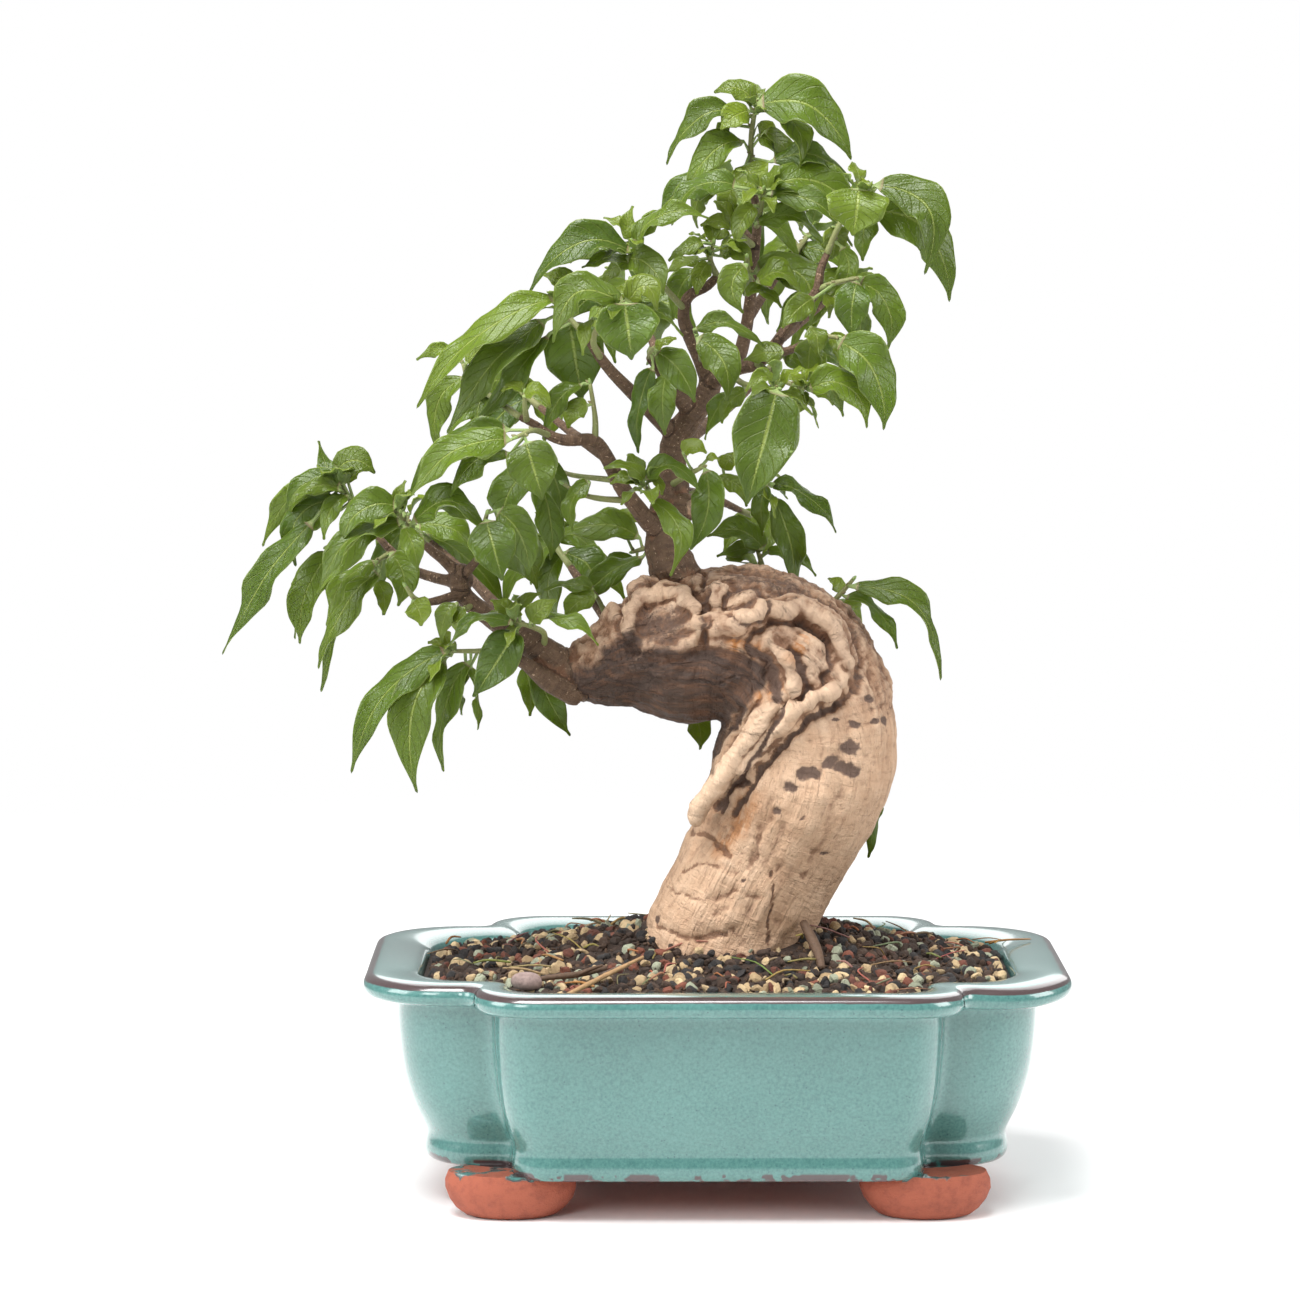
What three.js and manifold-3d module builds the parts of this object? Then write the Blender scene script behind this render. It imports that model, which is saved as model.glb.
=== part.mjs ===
// Bougainvillea bonsai in a glazed lobed pot. Millimetres, +Z up, +Y away from the front of the tree.
// Places on the tree are given as [x, z, y]: x and z as they are seen from the front in the plane y = 0,
// and y as the depth. seen() moves such a place along its line of sight to that depth.
import * as THREE from "three";
import { mergeVertices } from "three/addons/utils/BufferGeometryUtils.js";
import Module from "manifold-3d";

const wasm = await Module();
wasm.setup();

// Driving dimensions of the pot
const RIM = { endX: 105, endY: 57, endR: 25, frontX: 71, frontY: 77, frontR: 17, notchR: 5 };
const RIM_TOP = 70;
const BELLY_BOTTOM = 12.5;
const FLOOR_TOP = 19;
const FOOT = { x: 61, y: 45, halfX: 19.5, halfY: 12, bottomX: 13, bottomY: 7.5, top: 13.5 };
const DRAIN = { x: 36, radius: 8 };
const MESH_PLATE = { half: 11, thick: 0.9, holeHalf: 2.5, pitch: 8 };

// Driving dimensions of the filling
const GAP = 0.3;
const SEAM_WIDTH = 0.02;
const SOIL_EDGE = 67.5;
const MOUND = { height: 14, x: 5, y: 12, spreadX: 50, spreadY: 32 };
const GRAIN_RELIEF = 0.9;

// Driving dimensions of the tree
const EYE = new THREE.Vector3(-20, -1300, 288);
const BLADE = {
  keel: 1, petiole: 0.7, root: 0.45, fold: 0.1, wave: 0.05, highestWave: 1.2, skew: 1, bulge: 0.1, belly: 0.42,
};
const CROWN_DEPTH = 1.35;
const TRUNK_SIDES = 12;
const LEAF_STOPS = { short: [0.03, 0.42], middle: [0.03, 0.3, 0.64], long: [0.03, 0.2, 0.44, 0.72] };
const MIDDLE_LEAF = 13;
const LONG_LEAF = 31;
const STALK = { spacing: 1.7, crowding: 10, steps: 10, firstStep: 8 };
const STEM = { sides: 4, root: 1.15, tip: 0.7 };
const LEAF_TURN = 2.4;
const PUSH = { bases: [0, -2.5, 2.5, -5, 5], leanStep: 0.13, leanSteps: 9, perMillimetre: 1 / 12 };
const BACK_SHOOT = {
  seed: 101, trials: 60, leaves: 6, spacing: 8, bow: 4, shortest: 20, longer: 14, narrowest: 5.5, wider: 3.5,
  smallestDrop: 0.35, moreDrop: 0.5, smallestRoll: 45, moreRoll: 35, sideways: 0.8, turnLean: 0.55, lean: 0.15,
};

const TOWARDS_FRONT = new THREE.Vector3(0, -1, 0);

// A repeatable random draw between 0 and 1
function drawer(seed) {
  let state = seed >>> 0;
  return () => {
    state = (state + 0x6d2b79f5) >>> 0;
    let t = state;
    t = Math.imul(t ^ (t >>> 15), t | 1);
    t ^= t + Math.imul(t ^ (t >>> 7), t | 61);
    return ((t ^ (t >>> 14)) >>> 0) / 4294967296;
  };
}

function seen(x, z, y) {
  const reach = (y - EYE.y) / -EYE.y;
  return new THREE.Vector3(EYE.x + (x - EYE.x) * reach, y, EYE.z + (z - EYE.z) * reach);
}

// Solids

function toSolid(geometry) {
  geometry.deleteAttribute("normal");
  geometry.deleteAttribute("uv");
  const merged = mergeVertices(geometry, 1e-4);
  const vertProperties = new Float32Array(merged.attributes.position.array);
  const triVerts = new Uint32Array(merged.index.array);
  return new wasm.Manifold(new wasm.Mesh({ numProp: 3, vertProperties, triVerts }));
}

function toGeometry(solid) {
  const mesh = solid.getMesh();
  const geometry = new THREE.BufferGeometry();
  geometry.setAttribute("position", new THREE.BufferAttribute(new Float32Array(mesh.vertProperties), 3));
  geometry.setIndex(new THREE.BufferAttribute(new Uint32Array(mesh.triVerts), 1));
  return geometry;
}

// A closed skin over rings with equal counts of points. Each end closes on a point of its own.
function loft(rings, firstPole, lastPole) {
  const count = rings[0].length;
  const points = [...rings.flat(), firstPole, lastPole];
  const first = points.length - 2;
  const last = points.length - 1;
  const triangles = [];
  for (let i = 0; i < count; i++) {
    const next = (i + 1) % count;
    triangles.push([first, next, i]);
    for (let ring = 0; ring < rings.length - 1; ring++) {
      const low = ring * count;
      const high = low + count;
      triangles.push([low + i, low + next, high + next]);
      triangles.push([low + i, high + next, high + i]);
    }
    const end = (rings.length - 1) * count;
    triangles.push([end + i, end + next, last]);
  }
  const sixVolumes = triangles.reduce((sum, [a, b, c]) => {
    const normal = new THREE.Vector3().crossVectors(points[b], points[c]);
    return sum + points[a].dot(normal);
  }, 0);
  if (sixVolumes < 0) triangles.forEach((triangle) => triangle.reverse());
  const geometry = new THREE.BufferGeometry().setFromPoints(points);
  geometry.setIndex(triangles.flat());
  return geometry;
}

function middle(ring) {
  return ring.reduce((sum, point) => sum.add(point), new THREE.Vector3()).divideScalar(ring.length);
}

// A tapered round limb through stations { at, radius }, with a frame carried along without twist
function limb(stations, sides) {
  const tangents = stations.map((_, i) => {
    const before = stations[Math.max(i - 1, 0)].at;
    const after = stations[Math.min(i + 1, stations.length - 1)].at;
    return new THREE.Vector3().subVectors(after, before).normalize();
  });
  const side = new THREE.Vector3().crossVectors(tangents[0], new THREE.Vector3(0.3, 0.9, 0.2)).normalize();
  const rings = stations.map(({ at, radius }, i) => {
    side.addScaledVector(tangents[i], -side.dot(tangents[i])).normalize();
    const other = new THREE.Vector3().crossVectors(tangents[i], side);
    return Array.from({ length: sides }, (_, k) => {
      const turn = (2 * Math.PI * k) / sides;
      return at.clone()
        .addScaledVector(side, radius * Math.cos(turn))
        .addScaledVector(other, radius * Math.sin(turn));
    });
  });
  const firstPole = middle(rings[0]).addScaledVector(tangents[0], -0.3 * stations[0].radius);
  const lastStation = stations.at(-1);
  const lastPole = middle(rings.at(-1)).addScaledVector(tangents.at(-1), 0.5 * lastStation.radius);
  return toSolid(loft(rings, firstPole, lastPole));
}

// Pot

// The lobed plan, drawn in by an inset: one quarter as arcs, then mirrored round
function plan(inset) {
  const endX = RIM.endX - inset;
  const endY = RIM.endY - inset;
  const frontX = RIM.frontX - 0.6 * inset;
  const frontY = RIM.frontY - inset;
  const endR = RIM.endR - 0.3 * inset;
  const frontR = RIM.frontR - 0.3 * inset;
  const arc = (cx, cy, radius, from, to, steps) =>
    Array.from({ length: steps + 1 }, (_, i) => {
      const angle = THREE.MathUtils.degToRad(from + ((to - from) * i) / steps);
      return [cx + radius * Math.cos(angle), cy + radius * Math.sin(angle)];
    });
  const quarter = [
    ...arc(endX - endR, endY - endR, endR, 0, 90, 3),
    ...arc(frontX + RIM.notchR, endY + RIM.notchR, RIM.notchR, 270, 180, 2),
    ...arc(frontX - frontR, frontY - frontR, frontR, 0, 90, 3),
  ];
  const back = quarter.map(([x, y]) => [-x, y]).reverse();
  const half = [...quarter, ...back];
  const front = half.map(([x, y]) => [x, -y]).reverse();
  return [...half, ...front];
}

function planRing(inset, z) {
  return plan(inset).map(([x, y]) => new THREE.Vector3(x, y, z));
}

function footSolid(signX, signY) {
  const profile = [
    [FOOT.bottomX, FOOT.bottomY, 0],
    [FOOT.halfX * 0.9, FOOT.halfY * 0.9, 2.6],
    [FOOT.halfX, FOOT.halfY, 8],
    [FOOT.halfX * 0.98, FOOT.halfY * 0.98, FOOT.top],
  ];
  const rings = profile.map(([halfX, halfY, z]) =>
    Array.from({ length: 10 }, (_, i) => {
      const turn = (Math.PI * i) / 5;
      const x = signX * FOOT.x + halfX * Math.cos(turn);
      return new THREE.Vector3(x, signY * FOOT.y + halfY * Math.sin(turn), z);
    }),
  );
  return toSolid(loft(rings, middle(rings[0]), middle(rings.at(-1))));
}

function upright(x, y, radius, bottom, top, sides) {
  const geometry = new THREE.CylinderGeometry(radius, radius, top - bottom, sides);
  geometry.rotateX(Math.PI / 2).translate(x, y, (bottom + top) / 2);
  return toSolid(geometry);
}

function potSolid() {
  // Inset and height up the outside, over the lip and down the inside
  const profile = [
    [20.5, BELLY_BOTTOM], [17.6, 15], [18.8, 20.5], [13.4, 31], [10.4, 46], [9.8, 61.5],
    [1.2, 63.6], [0, 67], [2.6, RIM_TOP], [13.5, RIM_TOP - 0.4], [16.5, RIM_TOP - 2.5], [20.5, 38],
    [27, FLOOR_TOP],
  ];
  const rings = profile.map(([inset, z]) => planRing(inset, z));
  let pot = toSolid(loft(rings, new THREE.Vector3(0, 0, BELLY_BOTTOM), new THREE.Vector3(0, 0, FLOOR_TOP)));
  for (const signX of [-1, 1]) {
    for (const signY of [-1, 1]) pot = pot.add(footSolid(signX, signY));
    pot = pot.subtract(upright(signX * DRAIN.x, 0, DRAIN.radius, 5, 30, 12));
  }
  return pot;
}

function plateSolid(centreX, grow = 0) {
  const half = MESH_PLATE.half + grow;
  const low = FLOOR_TOP + GAP - grow;
  const high = FLOOR_TOP + GAP + MESH_PLATE.thick + grow;
  const box = new THREE.BoxGeometry(2 * half, 2 * half, high - low).translate(centreX, 0, (high + low) / 2);
  let plate = toSolid(box);
  if (grow > 0) return plate;
  for (const i of [-0.5, 0.5]) {
    for (const j of [-0.5, 0.5]) {
      const size = 2 * MESH_PLATE.holeHalf;
      const hole = new THREE.BoxGeometry(size, size, 6);
      hole.translate(centreX + i * MESH_PLATE.pitch, j * MESH_PLATE.pitch, low);
      plate = plate.subtract(toSolid(hole));
    }
  }
  return plate;
}

// Soil

function soilHeight(x, y) {
  const swell = ((x - MOUND.x) / MOUND.spreadX) ** 2 + ((y - MOUND.y) / MOUND.spreadY) ** 2;
  return SOIL_EDGE + MOUND.height * Math.exp(-swell);
}

function soilSolid(hole) {
  const draw = drawer(11);
  const side = [[27, FLOOR_TOP], [20.5, 38]].map(([inset, z], i) =>
    planRing(inset + 0.5, z + (i === 0 ? GAP : 0)),
  );
  const edge = planRing(17.1, SOIL_EDGE);
  const scales = [0.88, 0.76, 0.64, 0.52, 0.38, 0.22];
  const surface = scales.map((scale) =>
    edge.map((point) => {
      const x = point.x * scale + (draw() - 0.5) * 2;
      const y = point.y * scale + (draw() - 0.5) * 2;
      return new THREE.Vector3(x, y, soilHeight(x, y) + (draw() - 0.5) * 2 * GRAIN_RELIEF);
    }),
  );
  const bottomPole = new THREE.Vector3(0, 0, FLOOR_TOP + GAP);
  let soil = toSolid(loft([...side, edge, ...surface], bottomPole, new THREE.Vector3(0, 0, SOIL_EDGE + 12)));
  for (const signX of [-1, 1]) soil = soil.subtract(plateSolid(signX * DRAIN.x, GAP));
  return soil.subtract(hole);
}

// Trunk and woody branches. Each row is [x, z, y, radius].

const TRUNK_SPINE = [
  [-1, 40, 6, 13], [-1, 56, 6, 22.5], [1, 68, 5, 25], [5, 80, 5, 24.5], [10, 91, 4, 24], [15.5, 102, 4, 24],
  [21, 113, 3, 25.5], [25, 124, 2, 27.5], [27, 134, 2, 27.5], [27, 144, 1, 26.5], [22, 155, 1, 26.5],
  [13, 162, 0, 25.5], [2, 164, 0, 23.5], [-9, 163, 0, 22.5], [-19, 161.5, 0, 20], [-28, 159.5, -1, 15.5],
  [-35, 157, -2, 12], [-42, 156.5, -3, 9],
];

const BRANCHES = [
  // Leader and its continuation towards the crown
  [[-10, 172, 0, 9], [-12, 184, 0, 7.4], [-15, 193, 0, 6.3], [-15, 203, 1, 5.7], [-13, 212, 2, 5],
    [-13.5, 220, 2, 4.4], [-12, 227, 1, 4.2], [-8, 233, 0, 4], [-3, 240, -1, 3.6], [-2, 245, -1, 3.1]],
  [[-2, 243, -1, 3], [-4.5, 250, -2, 2.6], [-8, 257, -3, 2.2], [-10, 263, -4, 1.9], [-8.5, 269, -4, 1.7],
    [-3, 272, -3, 1.5], [0, 275, -2, 1.3]],
  [[-2, 243, 0, 2.8], [4, 247, 2, 2.4], [7, 252, 3, 2.2], [9.5, 264, 5, 1.9], [11, 280, 6, 1.7],
    [12, 292, 6, 1.4], [10.5, 302, 5, 1.2]],
  // Right-hand limb and its fork
  [[-1, 244, -3, 2.6], [6, 247.5, -6, 2.2], [12, 249, -8, 2], [17, 254, -9, 1.9], [22, 261, -10, 1.7],
    [27, 267, -11, 1.6], [30, 271, -12, 1.5], [31, 277, -12, 1.3], [33, 282, -12, 1.1]],
  [[16, 252, -9, 1.5], [22, 253, -12, 1.3], [26, 255, -14, 1.1]],
  // Left-hand limbs of the crown
  [[-13, 228, 1, 2.8], [-17, 232, -3, 2.5], [-25, 240, -9, 2.1], [-31, 246, -14, 1.8], [-35, 251, -17, 1.6],
    [-39, 257, -18, 1.3]],
  [[-8, 235, 0, 2.8], [-12, 240, -6, 2.4], [-17, 247, -12, 1.8], [-20, 251, -16, 1.5]],
  // Lower left limb with its side twigs
  [[-15, 198, 0, 3.4], [-20, 201, -3, 2.9], [-24, 206, -6, 2.6], [-28.5, 212, -9, 2.4], [-33, 221, -12, 2.2],
    [-37, 226, -14, 2], [-45, 226, -17, 1.8], [-50, 227.5, -18, 1.6], [-55, 231, -19, 1.3],
    [-59, 233, -20, 1.1]],
  // Left bough and its limbs
  [[-36, 156, -2, 10], [-43, 155.5, -3, 7.8], [-50, 159.5, -5, 5.8], [-57, 166, -7, 4.6], [-63, 169.5, -9, 3.7],
    [-69, 173.5, -11, 3], [-75, 178, -12, 2.9], [-77.5, 183, -12, 3], [-76, 188, -12, 2.3]],
  [[-77, 185, -12, 2], [-82, 190, -12, 1.7], [-86, 193, -13, 1.4], [-88, 195, -13, 1.2]],
  [[-77, 183, -11, 1.9], [-84, 184.5, -8, 1.7], [-89, 186, -6, 1.6], [-94, 188, -5, 1.4], [-97, 192, -4, 1.3],
    [-100, 195, -4, 1.2], [-103, 199, -4, 1.2], [-106, 203, -4, 1.1]],
  [[-76, 180, -13, 1.8], [-83, 178, -16, 1.4], [-88, 177, -17, 1.2]],
  [[-42, 150, -5, 4.5], [-50, 153, -9, 3.2], [-58, 159, -12, 2], [-62, 160, -12, 1.7]],
  [[-75.5, 186, -13, 1.6], [-72, 190, -15, 1.2]],
];

// Relief that has grown onto the trunk: roots that lie on it, the rims of the burl and of the scar, knobs
const TRUNK_RELIEF = [
  [[20, 151, -24, 2.8], [12, 139, -23.5, 3.2], [2, 125, -19, 3], [-6, 112, -14, 2.3]],
  [[34, 150, -23, 2.2], [22, 143, -25.5, 2.6], [7, 126, -22, 1.8]],
  [[12, 168, -18, 1.8], [20, 162, -25, 1.9], [23.5, 154, -26, 1.9], [20, 145, -21, 1.7]],
  [[-6, 170, -21, 3], [5, 171, -23, 3.2], [15, 175, -21, 3.4], [27, 175.5, -18, 3.4], [36, 169, -17, 3.2],
    [38, 158, -18, 3]],
  [[-25, 166, -15, 2.4], [-24, 176, -12, 2.6], [-13, 181.5, -13, 2.6], [-6, 174, -18, 2.6]],
];
const KNOBS = [
  [9, 176, -18, 5], [0, 179, -15, 4], [-21, 180, -8, 5.5], [29, 173, -6, 8], [42, 158, 0, 7.5], [12, 179, 4, 8.5],
  [-9, 206, -3, 4.5], [-77, 184, -12, 4], [-29, 170, -4, 6.5],
];
const BURIED_ROOTS = [
  [[-4, 60, 4, 9], [-34, 50, -4, 3]],
  [[12, 60, 4, 9], [44, 50, -10, 3]],
  [[4, 60, 12, 9], [22, 50, 36, 3]],
];

function stations(rows, grow) {
  return rows.map(([x, z, y, radius]) => ({ at: seen(x, z, y), radius: radius + grow }));
}

// The crown is deeper than its places say: their depths are taken from the trunk's middle plane outwards
function deepen(rows) {
  return rows.map(([x, z, y, ...rest]) => [x, z, y * CROWN_DEPTH, ...rest]);
}

// The trunk's own skin: round sections square to the spine, swollen and furrowed by a formula
function trunkSolid(grow) {
  const spine = stations(TRUNK_SPINE, grow);
  const rings = spine.map(({ at, radius }, i) => {
    const before = spine[Math.max(i - 1, 0)].at;
    const after = spine[Math.min(i + 1, spine.length - 1)].at;
    const along = new THREE.Vector3().subVectors(after, before).normalize();
    const outward = new THREE.Vector3().crossVectors(along, TOWARDS_FRONT).normalize();
    const front = new THREE.Vector3().crossVectors(outward, along);
    return Array.from({ length: TRUNK_SIDES }, (_, k) => {
      const turn = (2 * Math.PI * k) / TRUNK_SIDES;
      const swell = 0.025 * Math.sin(3 * turn + 0.55 * i) + 0.02 * Math.sin(5 * turn - 0.9 * i);
      const reach = radius * (1 + swell);
      return at.clone()
        .addScaledVector(outward, reach * Math.cos(turn))
        .addScaledVector(front, 0.93 * reach * Math.sin(turn));
    });
  });
  return toSolid(loft(rings, middle(rings[0]), middle(rings.at(-1))));
}

function knobSolid([x, z, y, radius], grow) {
  const knob = new THREE.IcosahedronGeometry(radius + grow, radius > 5 ? 1 : 0);
  const at = seen(x, z, y);
  return toSolid(knob.translate(at.x, at.y, at.z));
}

function sidesFor(rows) {
  const thickest = Math.max(...rows.map((row) => row[3]));
  return thickest > 7 ? 8 : thickest > 3.2 ? 6 : thickest > 1.9 ? 5 : 4;
}

function woodSolid(grow) {
  let wood = trunkSolid(grow);
  for (const rows of [...BRANCHES, ...BACK_TWIGS]) {
    wood = wood.add(limb(stations(deepen(rows), grow), sidesFor(rows)));
  }
  for (const rows of [...TRUNK_RELIEF, ...BURIED_ROOTS]) wood = wood.add(limb(stations(rows, grow), 5));
  for (const knob of KNOBS) wood = wood.add(knobSolid(knob, grow));
  return wood.simplify(SEAM_WIDTH);
}

// Twigs on the far side of the tree, each with a leafy shoot at its end
const BACK_TWIGS = [
  [[-12, 224, 2, 2.6], [-4, 230, 16, 2], [6, 238, 28, 1.5], [14, 246, 36, 1.1]],
  [[-8, 233, 1, 2.4], [-13, 243, 16, 1.9], [-19, 255, 28, 1.4], [-23, 264, 34, 1.1]],
  [[9.3, 262.5, 5, 1.8], [15, 271, 17, 1.4], [21, 279, 25, 1.1]],
  [[11.3, 284, 6, 1.5], [7, 290, 17, 1.2], [3, 296, 23, 1]],
  [[-57, 166, -3, 2.6], [-66, 176, 10, 1.9], [-76.5, 187, 19, 1.4], [-86, 195.5, 24, 1.1]],
  [[-33, 221, -12, 2], [-43, 228, 6, 1.5], [-53, 236, 17, 1.1]],
  [[18.5, 256, -9.5, 1.7], [26, 262, 5, 1.3], [33, 267.8, 14, 1]],
  [[-13, 211, 3, 2], [-2, 209, 20, 1.5], [7, 205, 29, 1.1]],
  [[-30, 168, 8, 2.2], [-37, 178, 16, 1.7], [-44, 188, 22, 1.2]],
];

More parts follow.
